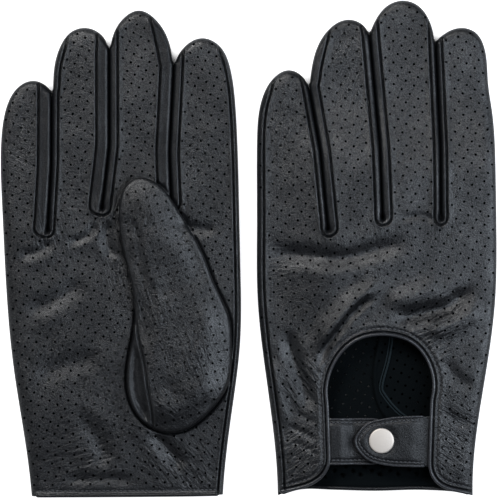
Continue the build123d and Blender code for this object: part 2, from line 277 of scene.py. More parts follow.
# how far apart the points of a fill stay, so that no triangle is a sliver (mm)
HOLE_SPACE = 0.25
GRID_SPACE = 0.35
LINE_SPACE = 0.4
POINT_SPACE = 0.19
RIM_SPACE = 0.4  # from the last rim row to the grid
ROW_SHARE = 0.93  # a rim row's point nearer the ring than this share of its distance is left out
SEAM_SHARE = 0.88
GRID_SHARE = 0.55


class Fill:
    """A closed 2D ring filled with triangles. Lines keep their edges, and each hole is left open."""

    def __init__(self, ring, rows, step, lines=(), holes=()):
        closed = closed_path(ring)
        groups = [ring]
        edges = [(k, (k + 1) % len(ring)) for k in range(len(ring))]
        count = len(ring)
        for line in lines:
            groups.append(line)
            edges += [(count + k, count + k + 1) for k in range(len(line) - 1)]
            count += len(line)
        centres = np.vstack(lines) if len(lines) else np.zeros((0, 2))
        loop = HOLE_RADIUS * heading(np.arange(HOLE_SIDES) * 360 / HOLE_SIDES)
        holes = np.asarray(holes, float).reshape(-1, 2)
        rings = (holes[:, None, :] + loop[None, :, :]).reshape(-1, 2)
        hole_of = np.concatenate([np.full(count, -1), np.repeat(np.arange(len(holes)), HOLE_SIDES)])
        groups.append(rings)
        for row in rows:
            points = rim_row(ring, row)
            points = points[inside(points, ring)]
            points = points[closed.distance(points) > ROW_SHARE * row]
            points = clear_of(points, centres, LINE_SPACE)
            groups.append(clear_of(points, holes, HOLE_RADIUS + HOLE_SPACE))
        taken = np.vstack(groups)
        for line in lines:
            normals = right_normals(line)
            for row in SEAM_ROWS:
                for sign in (-1, 1):
                    points = line + normals * row * sign
                    points = points[inside(points, ring)]
                    points = clear_of(points, centres, SEAM_SHARE * row)
                    points = clear_of(points, holes, HOLE_RADIUS + HOLE_SPACE)
                    points = clear_of(points, taken, POINT_SPACE)
                    groups.append(points)
                    taken = np.vstack([taken, points])
        grid = hex_grid(ring.min(0), ring.max(0), step)
        grid = grid[inside(grid, ring)]
        grid = grid[closed.distance(grid) > rows[-1] + RIM_SPACE]
        grid = clear_of(grid, holes, HOLE_RADIUS + GRID_SPACE)
        groups.append(clear_of(grid, taken, GRID_SHARE * step))
        points = np.vstack(groups)
        made = delaunay_2d_cdt([Vector(p) for p in points], edges, [], 0, 1e-6)
        self.points = np.array([tuple(v) for v in made[0]])
        triangles = np.array([face for face in made[2] if len(face) == 3])
        source = made[3]
        hole = np.array([hole_of[s[0]] if s and s[0] < len(hole_of) else -1 for s in source])
        self.is_hole = (hole[triangles] >= 0).all(1) & (np.ptp(hole[triangles], axis=1) == 0)
        keep = inside(self.points[triangles].mean(1), ring)
        triangles, self.is_hole = triangles[keep], self.is_hole[keep]
        a, b, c = (self.points[triangles[:, k]] for k in range(3))
        area = (b[:, 0] - a[:, 0]) * (c[:, 1] - a[:, 1]) - (b[:, 1] - a[:, 1]) * (c[:, 0] - a[:, 0])
        triangles[area < 0] = triangles[area < 0][:, ::-1]
        self.triangles = triangles
        self.ring = np.full(len(ring), -1)
        for index, origins in enumerate(source):
            for origin in origins:
                if origin < len(ring):
                    self.ring[origin] = index

    def middles(self):
        return self.points[self.triangles].mean(1)


# ---------------------------------------------------------------- meshes
def new_object(
        name, points, faces, material_index=None, materials=(), normals=None, rest=None, creases=None):
    mesh = bpy.data.meshes.new(name)
    mesh.from_pydata([tuple(p) for p in points], [], [tuple(int(i) for i in f) for f in faces])
    for material in materials:
        mesh.materials.append(material)
    if material_index is not None:
        mesh.polygons.foreach_set("material_index", np.asarray(material_index, np.int32))
    mesh.polygons.foreach_set("use_smooth", np.ones(len(mesh.polygons), bool))
    for key, values in (("rest", rest), ("creases", creases)):
        if values is not None:
            attribute = mesh.attributes.new(key, "FLOAT_VECTOR", "POINT")
            attribute.data.foreach_set("vector", np.asarray(values, np.float32).ravel())
    if normals is not None:
        mesh.normals_split_custom_set([tuple(n) for n in normals])
    mesh.update()
    made = bpy.data.objects.new(name, mesh)
    bpy.context.scene.collection.objects.link(made)
    return made


def vertex_normals(points, faces):
    a, b, c = (points[faces[:, k]] for k in range(3))
    face = np.cross(b - a, c - a)
    total = np.zeros_like(points)
    for k in range(3):
        np.add.at(total, faces[:, k], face)
    return total


def shell(name, points, normals, rest, faces, material, creases, thickness=LEATHER, plugs=()):
    """A leather piece with thickness: its outer face, its flesh side, and walls round every edge and hole.

    Plugs are triangles that close holes on the flesh side only; these dark plugs are painted shade for the
    table seen through the holes.
    """
    used = np.unique(faces)
    renumber = np.full(len(points), -1)
    renumber[used] = np.arange(len(used))
    faces = renumber[faces]
    flesh = np.vstack([faces, renumber[plugs]]) if len(plugs) else faces
    points, normals, rest, creases = points[used], normals[used], rest[used], creases[used]
    count = len(points)
    inner = points - normals * thickness * MM
    edges = np.vstack([faces[:, [0, 1]], faces[:, [1, 2]], faces[:, [2, 0]]])
    key = np.sort(edges, axis=1)
    order = np.unique(key, axis=0, return_inverse=True, return_counts=True)
    border = edges[order[2][order[1].ravel()] == 1]
    a, b = border.T
    walls = np.vstack([np.stack([b, a, a + count], axis=1), np.stack([b, a + count, b + count], axis=1)])
    every = np.vstack([points, inner])
    all_faces = np.vstack([faces, flesh[:, ::-1] + count, walls])
    a, b, c = (every[walls[:, k]] for k in range(3))
    wall = unit(np.cross(b - a, c - a))
    loops = np.vstack([
        normals[faces].reshape(-1, 3), -normals[flesh[:, ::-1]].reshape(-1, 3), np.repeat(wall, 3, axis=0),
    ])
    index = np.concatenate([np.zeros(len(faces)), np.ones(len(flesh)), np.ones(len(walls))])
    return new_object(
        name, every, all_faces, index, [MATERIALS[material], MATERIALS["suede"]], loops,
        np.tile(rest, (2, 1)), np.tile(creases, (2, 1)),
    )


# ---------------------------------------------------------------- reading the frame
def loops_of(points, polygons, level):
    """Closed loops round the flat faces at a level."""
    keys = [tuple(np.round(p[:2], 4)) for p in points]
    seen = {}
    for face in polygons:
        corners = list(face.vertices)
        if all(abs(points[c, 2] - level) < 0.002 for c in corners):
            for a, b in zip(corners, corners[1:] + corners[:1]):
                edge = frozenset((keys[a], keys[b]))
                if len(edge) == 2:
                    seen[edge] = seen.get(edge, 0) + 1
    links = {}
    for edge, count in seen.items():
        if count == 1:
            a, b = tuple(sorted(edge))
            links.setdefault(a, []).append(b)
            links.setdefault(b, []).append(a)
    result = []
    while links:
        loop = [min(links)]
        while links.get(loop[-1]):
            here = loop[-1]
            there = links[here].pop()
            links[there].remove(here)
            loop.append(there)
        for key in loop:
            if key in links and not links[key]:
                del links[key]
        if len(loop) > 3:
            result.append(np.array(loop[:-1]))
    return result


def turn_to(loop, index):
    return np.vstack([loop[index:], loop[:index]])


def cut_edge(loop, origin, direction, slack=0.45):
    """Index of the loop's long edge that lies on a line."""
    normal = np.array([-direction[1], direction[0]])
    off = np.abs((loop - origin) @ normal)
    size = np.hypot(*(np.roll(loop, -1, axis=0) - loop).T)
    on_line = (off < slack) & (np.roll(off, -1) < slack)
    return int(np.argmax(np.where(on_line, size, 0)))


def star_outline(loops, centre, count=400):
    """The outline round several loops, seen from a centre, clockwise."""
    result = []
    for ray in heading(-np.arange(count) * 360 / count):
        far = 0.0
        for loop in loops:
            a = loop - centre
            b = np.roll(a, -1, axis=0)
            side_a = ray[0] * a[:, 1] - ray[1] * a[:, 0]
            side_b = ray[0] * b[:, 1] - ray[1] * b[:, 0]
            cross = (side_a > 0) != (side_b > 0)
            if cross.any():
                t = side_a[cross] / (side_a[cross] - side_b[cross])
                hit = a[cross] + (b[cross] - a[cross]) * t[:, None]
                far = max(far, float((hit @ ray).max()))
        result.append(centre + ray * far)
    return np.array(result)


THUMB_CENTRE = np.array([15.0, 100.0])
TIP_SPAN = 6  # a fingertip is the highest of this many points on each side
TIPS_ABOVE = 190.0
GAP_STARTS = 5.0  # how far along the outline from a fingertip the rim begins to sharpen
GAP_SETTLES = 14.0


class Glove:
    """One glove: how it maps to the frame, its outline, fingertips and crotches."""

    KEYHOLE_HALF_WIDTH = 30.0
    SAG_FROM, SAG_OVER = 158.0, 45.0  # the fingers sink beyond the thumb
    SIDE_FROM, SIDE_OVER, SIDE_SHARE = -14.0, 38.0, 0.8  # and the little-finger side beside it

    def __init__(self, side):
        self.side = side
        self.right = side == "right"
        self.origin = np.zeros(2)
        self.height = 0.0
        low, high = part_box(side + "_snap_cap")
        self.origin = np.array([(low.x + high.x) / 2, (low.y + high.y) / 2]) / MM - SNAP_IN_GLOVE
        if not self.right:
            self.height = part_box(side + "_back_panel")[1].z / MM
        self.palm_level = self.vertices("palm_panel")[:, 2].max()
        self.thumb_level = self.vertices("thumb_front")[:, 2].max()
        self.middle = self.palm_level / 2
        self.root = side + "_glove"
        self.bends = {}
        for joint in frame["joints"]:
            if joint["type"] == "hinge" and joint["name"].startswith(side):
                at = self.from_frame(np.array([joint["pos_m"]]) / MM)[0]
                self.bends[joint["name"][len(side) + 1:]] = (at, np.array(joint["axis"]))
        self.make_outline()
        self.make_thumb_outline()

    def name(self, part):
        return f"{self.side}_{part}"

    def from_frame(self, points):
        depth = points[:, 2] if self.right else self.height - points[:, 2]
        return np.stack([points[:, 0] - self.origin[0], points[:, 1] - self.origin[1], depth], axis=1)

    def to_frame(self, points):
        z = points[:, 2] if self.right else self.height - points[:, 2]
        return np.stack([points[:, 0] + self.origin[0], points[:, 1] + self.origin[1], z], axis=1) * MM

    def vertices(self, part):
        co = np.array([v.co for v in frame["nodes"][self.name(part)].data.vertices], float) / MM
        return self.from_frame(co)

    def loop(self, part, palm_side=True):
        """The longest loop round a node's outer face, clockwise."""
        points = self.vertices(part)
        level = points[:, 2].max() if palm_side else points[:, 2].min()
        found = loops_of(points, frame["nodes"][self.name(part)].data.polygons, level)
        loop = max(found, key=lambda run: np.ptp(run, axis=0).sum())
        x, y = loop.T
        area = (x * np.roll(y, -1) - y * np.roll(x, -1)).sum()
        return loop[::-1] if area > 0 else loop

    def faces(self, triangles, palm_side):
        """Triangles turned so that their outer side faces out, in the frame."""
        return triangles if palm_side == self.right else triangles[:, ::-1]

    def bend_line(self, finger):
        at, axis = self.bends[finger + "_bend"]
        return at[:2], axis[:2] / np.hypot(*axis[:2])

    def make_outline(self):
        """The hand's outline, from the little-finger end of the hem round to the index end."""
        loop = self.loop("palm_panel")
        for finger in FINGERS:
            origin, direction = self.bend_line(finger)
            tip = self.loop(finger + "_front")
            tip = turn_to(tip, (cut_edge(tip, origin, direction) + 1) % len(tip))
            loop = turn_to(loop, (cut_edge(loop, origin, direction) + 1) % len(loop))
            loop = np.vstack([loop, tip])
        hem = cut_edge(loop, loop[np.argmin(loop[:, 1])], np.array([1.0, 0.0]), slack=1.5)
        loop = turn_to(loop, (hem + 1) % len(loop))
        cuff = self.loop("cuff_binding")
        loop = np.vstack([cuff[np.argmin(cuff.sum(1))], loop, cuff[np.argmax(cuff[:, 0] - cuff[:, 1])]])
        path = rounded(resample(loop, OUTLINE_STEP), 2)
        y = path[:, 1]
        tops = [
            k for k in range(TIP_SPAN, len(y) - TIP_SPAN)
            if y[k] == y[k - TIP_SPAN:k + TIP_SPAN + 1].max() and y[k] > TIPS_ABOVE
        ]
        self.tips = [k for n, k in enumerate(tops) if n == 0 or k - tops[n - 1] > TIP_SPAN]
        self.crotches = [a + int(np.argmin(y[a:b])) for a, b in zip(self.tips, self.tips[1:])]
        self.outline = self.closed_gaps(path)
        self.path = Path(self.outline)
        length = cumulative(self.outline)
        self.share = length / length[-1]
        self.roll = np.full(len(length), ROLL)
        for a, b in zip(self.tips, self.tips[1:]):
            from_tip = np.minimum(length[a:b] - length[a], length[b] - length[a:b])
            self.roll[a:b] -= (ROLL - GAP_ROLL) * smooth((from_tip - GAP_STARTS) / GAP_SETTLES)
        y = self.outline[:, 1]
        first, last = self.tips[0], self.tips[-1]
        self.silhouette = Path(np.vstack([self.outline[:first], self.outline[last:]]))
        self.bases = (
            [int(np.argmin(np.abs(y[:first] - y[self.crotches[0]])))]
            + self.crotches
            + [last + int(np.argmin(np.abs(y[last:] - y[self.crotches[-1]])))]
        )

    def make_thumb_outline(self):
        loops = [self.loop(part) for part in ("thumb_front", "thumb_root", "thumb_gusset")]
        outline = star_outline(loops, THUMB_CENTRE)
        outline = resample(np.vstack([outline, outline[:1]]), OUTLINE_STEP)[:-1]
        self.thumb_outline = rounded(np.vstack([outline[-6:], outline, outline[:6]]), 6)[6:-6]
        self.thumb_rim = closed_path(self.thumb_outline)

    def closed_gaps(self, path):
        """The outline with neighbouring fingers swollen until they nearly touch."""
        result = path.copy()
        normals = right_normals(path)
        for a, c, b in zip(self.tips, self.crotches, self.tips[1:]):
            for run, other in ((slice(a, c), path[c:b]), (slice(c + 1, b), path[a:c + 1])):
                distance = Path(other).distance(path[run])
                share = smooth((GAP_REACH - distance) / (GAP_REACH - GAP_CLOSED))
                above = smooth((path[run, 1] - path[c, 1]) / 3)
                move = (distance - TOUCHING) / 2 * share * above
                result[run] -= normals[run] * np.maximum(move, 0)[:, None]
        return result

    def finger_polygon(self, k):
        return self.outline[self.bases[k]:self.bases[k + 1] + 1]

    def keyhole_edge(self):
        """The back panel's edge round the keyhole, from the index end of the hem to the little-finger end."""
        loop = self.loop("back_panel", palm_side=False)
        start = int(np.argmax(loop[:, 0] - loop[:, 1]))
        loop = turn_to(loop, start)
        run = resample(loop[:int(np.argmin(loop.sum(1))) + 1], OUTLINE_STEP)
        binding = self.vertices("keyhole_binding")[:, :2]
        binding = binding[np.abs(binding[:, 0]) < self.KEYHOLE_HALF_WIDTH]
        opening = Path(run).distance(binding).max() - BINDING_RADIUS
        return rounded(run - right_normals(run) * opening, 3)

    def sag(self, points):
        """How far the left glove sinks towards the table beside and beyond its folded thumb."""
        if self.right:
            return np.zeros(len(points))
        beyond = smooth((points[:, 1] - self.SAG_FROM) / self.SAG_OVER)
        beside = self.SIDE_SHARE * smooth((self.SIDE_FROM - points[:, 0]) / self.SIDE_OVER)
        return (self.height - self.palm_level - CLEARANCE) * (1 - (1 - beyond) * (1 - beside))


# ---------------------------------------------------------------- seams and folds
SEAM_LEAVES = math.cos(math.radians(17.0))  # where the fingertip curves away, a seam goes straight on
SEAM_TIP_MARGIN = 0.6
SEAM_BEYOND = 30
SEAM_FADE = 1.6  # a groove fades out this near the outline
HEM_FLAT = 2.0
FOLD_ROOM = 0.25  # how far inside the CAD's faces the leather lies before its folds
KNUCKLES, KNUCKLE_SPAN = 150.0, 40.0  # from here towards the hem, the rim grows rounder
HAND_ROLL = 2.0
SETTLED = 6.0  # folds and waves fade out this near the outline
THUMB_TUCK = 1.3  # how far the palm dips along the thumb's edge
THUMB_TUCK_WIDTH = 0.75
THUMB_TUCK_FADE = 0.75  # the dip is shallower where the free part of the thumb lies on the palm
THUMB_FREE_FROM, THUMB_FREE_OVER = 86.0, 10.0
THUMB_LINE_TOP = 130.0  # above this the thumb's edge crosses the seams
TIP_POINTS = 35  # an outline this close to a fingertip may curve away


HEM_STITCH_INSET = 2.6
KEYHOLE_STITCH_INSET = 2.4
# ridges along a seam or an edge: height (negative for a groove), distance from it, and width
SEAM_RIDGES = [(-1.5, 0.0, 0.34), (0.3, 1.1, 0.6)]
HEM_RIDGES = [(-0.6, HEM_STITCH_INSET, 0.42)]
KEYHOLE_RIDGES = [(0.35, 1.4, 0.5), (-1.8, 0.5, 0.4), (-0.9, KEYHOLE_STITCH_INSET, 0.4), (0.3, 3.4, 0.5)]


def ridges(distance, shapes):
    return sum(height * bell((distance - place) / width) for height, place, width in shapes)


def seam_line(glove, order, inset):
    """A seam beside the outline's points in an order that ends at a fingertip."""
    rim = glove.outline[order]
    ahead = unit(np.gradient(rim, axis=0))
    straight = unit((rim[-TIP_POINTS] - rim[-TIP_POINTS - 20])[None])[0]
    leaves = np.nonzero(ahead[-TIP_POINTS:] @ straight < SEAM_LEAVES)[0]
    stop = len(rim) - TIP_POINTS + leaves[0]
    line = (rim + right_normals(glove.outline)[order] * inset)[:stop]
    beyond = np.arange(1, SEAM_BEYOND)[:, None] * unit((line[-1] - line[-7])[None])
    line = np.vstack([line, line[-1] + beyond])
    clear = inside(line, glove.outline) & (glove.path.distance(line) > SEAM_TIP_MARGIN)
    clear[:stop] = True
    return line[:int(np.argmin(clear))]


def strip_seam(glove, k, insets, drop):
    """The seam round the strip between finger k and the next, from fingertip to fingertip."""
    a, c, b = glove.tips[k], glove.crotches[k], glove.tips[k + 1]
    crotch = glove.outline[c]
    up = (glove.outline[c - 12] + glove.outline[c + 12]) / 2 - crotch
    up /= np.hypot(*up)
    sides = []
    for order, inset in ((np.arange(c, a, -1), insets[0]), (np.arange(c, b), insets[1])):
        line = seam_line(glove, order, inset)
        sides.append(line[(line - crotch) @ up > 1.5])
    across = np.array([up[1], -up[0]])
    t = np.linspace(0, math.pi, 17)[1:-1]
    reach = np.where(t < math.pi / 2, insets[0], insets[1])
    arc = crotch - across * (np.cos(t) * reach)[:, None] - up * (np.sin(t) * drop)[:, None]
    path = np.vstack([sides[0][::-1], arc, sides[1]])
    return rounded(resample(path, OUTLINE_STEP), 4)


def side_seam(glove, order, inset):
    """A seam a little inside the outline from the hem to a fingertip."""
    return rounded(resample(seam_line(glove, order, inset), OUTLINE_STEP), 4)


# Gentle waves of the leather: the height and the length scale of each layer of noise.
HAND_WAVES = ((0.55, 30), (0.3, 11), (0.1, 4))
THUMB_WAVES = ((0.6, 22), (0.3, 8))
WAVE_SINK = 0.35  # waves are lowered by this, so that they stay inside the CAD's box
THUMB_SINK = 0.3
FOLD_STRENGTH = 2.1

# Each fold: its points, its depth and its width. A negative depth is a ridge.
PALM_FOLDS = {
    "right": [
        ([(11.5, 33), (20, 24), (29, 13)], 0.9, 3.2),
        ([(-33, 8), (-12, 9), (6, 8)], 0.35, 2.2),
        ([(-52, 92), (-38, 97), (-20, 108)], 0.5, 4.0),
        ([(-46, 58), (-30, 66), (-12, 70)], 0.5, 5.0),
        ([(-8, 138), (-10, 128), (-6, 118)], 0.7, 2.2),
        ([(-14, 137), (-20, 130), (-30, 126)], 0.6, 1.6),
        ([(-36, 128), (-44, 122), (-54, 120)], 0.5, 2.0),
        ([(24, 139), (34, 134), (45, 133)], 0.5, 2.4),
        ([(-24, 40), (-14, 28), (-10, 14)], 0.5, 4.0),
    ],
    "left": [
        ([(-40, 96), (-20, 104), (0, 108)], 0.6, 4.0),
        ([(-44, 60), (-26, 66), (-8, 66)], 0.5, 4.5),
    ],
}
BACK_FOLDS = {
    "left": [
        ([(-56, 121.5), (-38, 120.5), (-16, 119), (4, 124), (19, 128)], 1.1, 3.8),
        ([(2.3, 102.5), (-8, 94.5), (-15.9, 85.7), (-24.7, 74), (-27, 63.5)], 1.2, 1.5),
        ([(6, 108), (-10, 98), (-22, 85), (-31, 70)], -1.0, 4.0),
        ([(8, 88), (22, 91), (36, 95), (50, 106)], 1.3, 3.6),
        ([(24, 82), (40, 86), (54, 95)], -0.8, 4.5),
        ([(4, 97), (20, 101), (34, 108)], -0.6, 4.5),
        ([(-44.5, 84), (-41, 70), (-35, 54), (-31, 42)], 1.2, 3.0),
        ([(-52, 70), (-48, 52), (-44, 34)], -0.5, 3.0),
        ([(11.7, 138.5), (22, 140), (33.2, 137)], 0.4, 1.4),
        ([(-40, 43), (-34, 39), (-28, 37)], 0.3, 0.9),
        ([(-44, 36), (-36, 32), (-29, 29)], 0.35, 1.0),
        ([(-43, 28), (-35, 25), (-28, 20)], 0.3, 0.9),
        ([(34, 70), (40, 60), (50, 54)], 0.4, 3.0),
        ([(33, 44), (41, 38), (50, 36)], 0.4, 2.4),
    ],
    "right": [
        ([(-50, 120), (-30, 118), (-10, 112)], 0.8, 4.0),
        ([(16, 90), (32, 96), (48, 104)], 0.8, 4.0),
    ],
}


# points of the palm's hem between its two corners, from the index side
HEM_MIDDLE = {
    "right": [(24, 0.6), (-20, 0.3)],
    "left": [(40, 3.0), (22, 4.0), (0, 3.5), (-20, 4.0), (-36, 4.2)],
}


# Areas of fine creases: centre, radius, direction of the creases in degrees, and strength.
PALM_CREASES = {
    "right": [
        ((-37, 131), 13, 100, 0.8), ((-10, 141), 12, 80, 1.0), ((24, 141), 9, 85, 0.6),
        ((2, 112), 16, 105, 0.5), ((-20, 16), 26, 20, 0.5), ((24, 18), 20, -50, 0.7),
        ((-46, 70), 20, 60, 0.4),
    ],
    "left": [((0, 120), 40, 70, 0.4)],
}
BACK_CREASES = {
    "left": [
        ((-35, 56), 15, -52, 1.0), ((-36, 22), 17, 38, 1.0), ((-22, 84), 14, 50, 0.6),
        ((28, 84), 20, 30, 0.9), ((40, 30), 18, -35, 0.6), ((-24, 128), 10, 100, 0.7),
        ((4, 134), 9, 90, 0.7), ((33, 134), 9, 85, 0.6), ((-48, 118), 12, 5, 0.6),
        ((-8, 168), 60, 75, 0.25),
    ],
    "right": [((0, 110), 40, 60, 0.4)],
}
THUMB_FOLDS = [
    ([(2, 140), (6, 128), (7, 112)], 0.6, 1.3),
    ([(6, 126), (9, 112), (8, 98)], 0.5, 1.2),
    ([(3, 118), (12, 104), (14, 92)], 0.4, 1.6),
    ([(16, 60), (24, 52), (36, 48)], 0.25, 3.0),
]
THUMB_CREASES = [
    ((6, 92), 14, 105, 0.9), ((20, 46), 14, -40, 0.4), ((2, 138), 9, 80, 0.8), ((38, 70), 20, 110, 0.4),
]
CREASE_PITCH = 1.5
CREASE_LENGTH = 7.0


def crease_field(areas, points):
    """For each point: place across and along the creases, and their strength."""
    field = np.zeros((len(points), 3))
    second = np.zeros(len(points))
    for centre, radius, angle, strength in areas:
        along = heading(angle)
        across = np.array([-along[1], along[0]])
        weight = strength * bell(np.hypot(*(points - centre).T) / radius)
        place = np.column_stack([points @ across / CREASE_PITCH, points @ along / CREASE_LENGTH, weight])
        second = np.maximum(second, np.minimum(weight, field[:, 2]))
        field = np.where((weight > field[:, 2])[:, None], place, field)
    field[:, 2] -= second
    return field


def fold_height(folds, points):
    total = np.zeros(len(points))
    for spine, depth, width in folds:
        distance, along, _ = Path(curve(spine)).measure(points)
        ends = smooth(along * 4) * smooth((1 - along) * 4)
        reach = np.where((along <= 0) | (along >= 1), 0.0, ends)
        valley = bell(distance / width) - 0.18 * bell((distance - 2.1 * width) / (1.1 * width))
        total -= depth * valley * reach
    return total


def lattice(rows, centre, count):
    """Points in regular rows round a centre."""
    first, second = (length * heading(angle) for length, angle in rows)
    reach = np.arange(-count, count + 1)
    u, v = np.meshgrid(reach, reach)
    return np.asarray(centre) + u.ravel()[:, None] * first + v.ravel()[:, None] * second


class Sheet:
    """One side of a glove: its filled outline, its labels and its surface."""

    PALM_INSETS = {
        "right": [(6.6, 3.2), (6.4, 4.2), (6.6, 4.4)],
        "left": [(4.5, 4.0), (4.5, 4.0), (4.5, 4.0)],
    }
    BACK_INSETS = {
        "left": [(3.2, 4.6), (3.6, 4.4), (3.2, 3.0)],
        "right": [(4.0, 4.0), (4.0, 4.0), (4.0, 4.0)],
    }
    # the thickness at the hem as a share of the whole, and the height over which it grows
    PALM_FLARE = (0.72, 45)
    BACK_FLARE = (0.84, 16)
    PALM_SIDE_INSET = 2.5
    BACK_SIDE_INSET = 3.4
    STRIP_DROP = 3.2

    def __init__(self, glove, palm_side):
        self.glove = glove
        self.palm_side = palm_side
        insets = (self.PALM_INSETS if palm_side else self.BACK_INSETS)[glove.side]
        self.strips = [strip_seam(glove, k, insets[k], self.STRIP_DROP) for k in range(3)]
        outline = glove.outline
        if palm_side:
            hem = [outline[-1], *HEM_MIDDLE[glove.side], outline[0]]
            self.edge = curve(hem, OUTLINE_STEP)
            order = np.arange(len(outline) - 1, glove.tips[-1], -1)
            self.wrap = side_seam(glove, order, self.PALM_SIDE_INSET)
        else:
            self.edge = glove.keyhole_edge()
            order = np.arange(0, glove.tips[0])
            self.wrap = side_seam(glove, order, self.BACK_SIDE_INSET)
        self.edge_path = Path(self.edge)
        stop = int(np.argmin(np.hypot(*(outline[order] - self.wrap[-1]).T)))
        self.wrap_polygon = np.vstack([outline[order[:stop + 1]], self.wrap[::-1]])
        self.seams = [Path(line) for line in self.strips + [self.wrap]]
        self.strip_polygons = []
        for k, seam in enumerate(self.strips):
            a, c, b = glove.tips[k], glove.crotches[k], glove.tips[k + 1]
            start = a + int(np.argmin(np.hypot(*(outline[a:c] - seam[0]).T)))
            stop = c + int(np.argmin(np.hypot(*(outline[c:b] - seam[-1]).T)))
            self.strip_polygons.append(np.vstack([outline[start:stop + 1], seam[::-1]]))
        ring = np.vstack([outline, self.edge[1:-1]])
        closed = closed_path(ring)
        lines = []
        for line in self.strips + [self.wrap]:
            clear = inside(line, ring) & (closed.distance(line) > 0.4)
            lines.append(line[clear])
        if palm_side:
            rim = np.roll(glove.thumb_outline, -int(np.argmax(glove.thumb_outline[:, 1])), axis=0)
            lines.append(rim[rim[:, 1] < THUMB_LINE_TOP])
        self.fill = Fill(ring, RIM_ROWS, SHEET_STEP, lines, self.holes(ring, closed))
        self.raise_surface()
        self.label()

    def holes(self, ring, closed):
        """A lattice of slightly uneven perforations, clear of the seams, strips and edges."""
        low, high = ring.min(0), ring.max(0)
        points = lattice(PALM_ROWS if self.palm_side else BACK_ROWS, HOLES_CENTRE, 70)
        points = points[((points > low) & (points < high)).all(1)]
        uneven = np.stack([wavy(points, 3.1, 4.4), wavy(points, 3.1, 9.4)], axis=1)
        points = points + HOLE_JITTER * uneven
        points = points[inside(points, ring)]
        margin = HOLE_RIM_MARGIN if self.palm_side == self.glove.right else HOLE_FLOOR_MARGIN
        points = points[closed.distance(points) > margin]
        points = points[self.edge_path.distance(points) > HOLE_EDGE_MARGIN]
        for polygon in self.strip_polygons:
            points = points[~inside(points, polygon)]
        for seam in self.seams:
            points = points[seam.distance(points) > HOLE_SEAM_MARGIN]
        return points

    def depth_at(self, points, seams=True):
        """Depth of the outer face at 2D points, with or without its seams and the gaps between fingers."""
        glove = self.glove
        distance, along, _ = glove.path.measure(points)
        roll = np.interp(along, glove.share, glove.roll)
        if not seams:
            distance = glove.silhouette.distance(points)
        x, y = points.T
        hem_share, flared = self.PALM_FLARE if self.palm_side else self.BACK_FLARE
        flat = hem_share + (1 - hem_share) * smooth((y - HEM_FLAT) / flared)
        half = (glove.middle - FOLD_ROOM) * flat
        hand = smooth((KNUCKLES - y) / KNUCKLE_SPAN)
        rise = half * profile(distance, roll + HAND_ROLL * hand)
        settled = smooth(distance / SETTLED)
        folds = (PALM_FOLDS if self.palm_side else BACK_FOLDS)[glove.side]
        seed = 3.7 + 10 * self.palm_side + 20 * glove.right
        rise += settled * (waves(points, HAND_WAVES, seed) - WAVE_SINK)
        rise += settled * FOLD_STRENGTH * fold_height(folds, points)
        for seam in self.seams if seams else ():
            off = seam.distance(points)
            rise += ridges(off, SEAM_RIDGES) * smooth(distance / SEAM_FADE)
        off = self.edge_path.distance(points)
        if self.palm_side:
            rise += ridges(off, HEM_RIDGES)
            fading = smooth((y - THUMB_FREE_FROM) / THUMB_FREE_OVER) * (x < THUMB_CENTRE[0])
            tuck = THUMB_TUCK * (1 - THUMB_TUCK_FADE * fading)
            rise -= tuck * bell(glove.thumb_rim.distance(points) / THUMB_TUCK_WIDTH) if seams else 0.0
        else:
            rise += ridges(off, KEYHOLE_RIDGES)
        sign = 1 if self.palm_side else -1
        return glove.middle + sign * rise + glove.sag(points)

    def raise_surface(self):
        points = self.fill.points
        self.rest = np.column_stack([points, self.depth_at(points)])
        self.rest[self.fill.ring[:len(self.glove.outline)], 2] = (
            self.glove.middle + self.glove.sag(self.glove.outline)
        )
        self.world = self.glove.to_frame(self.rest)
        areas = (PALM_CREASES if self.palm_side else BACK_CREASES)[self.glove.side]
        self.creases = crease_field(areas, points)
        self.faces = self.glove.faces(self.fill.triangles, self.palm_side)
        self.normals = vertex_normals(self.world, self.faces)

    def label(self):
        """Which piece each triangle belongs to."""
        middle = self.fill.middles()
        finger = np.full(len(middle), -1)
        strip = np.zeros(len(middle), bool)
        glove = self.glove
        for k in range(4):
            finger[inside(middle, glove.finger_polygon(k))] = k
        for polygon in self.strip_polygons:
            strip |= inside(middle, polygon)
        wrap = inside(middle, self.wrap_polygon) & ~strip
        own = "front" if self.palm_side else "back"
        other = "back" if self.palm_side else "front"
        panel = {"front": "palm_panel", "back": "back_panel"}
        names = []
        for f, s, w in zip(finger, strip, wrap):
            if s:
                ending = "_fourchette" if f in (0, 3) else "_fourchettes"
                names.append("fourchette_roots" if f < 0 else FINGERS[f] + ending)
            else:
                layer = other if w else own
                names.append(panel[layer] if f < 0 else f"{FINGERS[f]}_{layer}")
        self.labels = np.array(names)


def weld_normals(front, back, count):
    """Front and back share their outline, so they share its normals."""
    a, b = front.fill.ring[:count], back.fill.ring[:count]
    total = front.normals[a] + back.normals[b]
    front.normals[a] = total
    back.normals[b] = total
    front.normals = unit(front.normals)
    back.normals = unit(back.normals)


def stand_for(glove, nodes):
    """The piece takes the place of CAD nodes, which are hidden."""
    if nodes:
        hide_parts(*[glove.name(node) for node in nodes])


def blend(glove, piece, part, at, ahead, reaches):
    """Bakes the piece's placement into its mesh. The points at two distances ahead of its joint are worked
    out but not used, so the piece doesn't bend.
    """
    ends = glove.to_frame(at + np.outer(reaches, ahead))
    glove.name(part)
    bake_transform(piece)


def finger_blend(glove, piece, finger):
    _, along = glove.bend_line(finger)
    ahead = np.array([-along[1], along[0], 0.0])
    if ahead[1] < 0:
        ahead = -ahead
    blend(glove, piece, finger, glove.bends[finger + "_bend"][0], ahead, (-BEND_REACH, BEND_REACH))


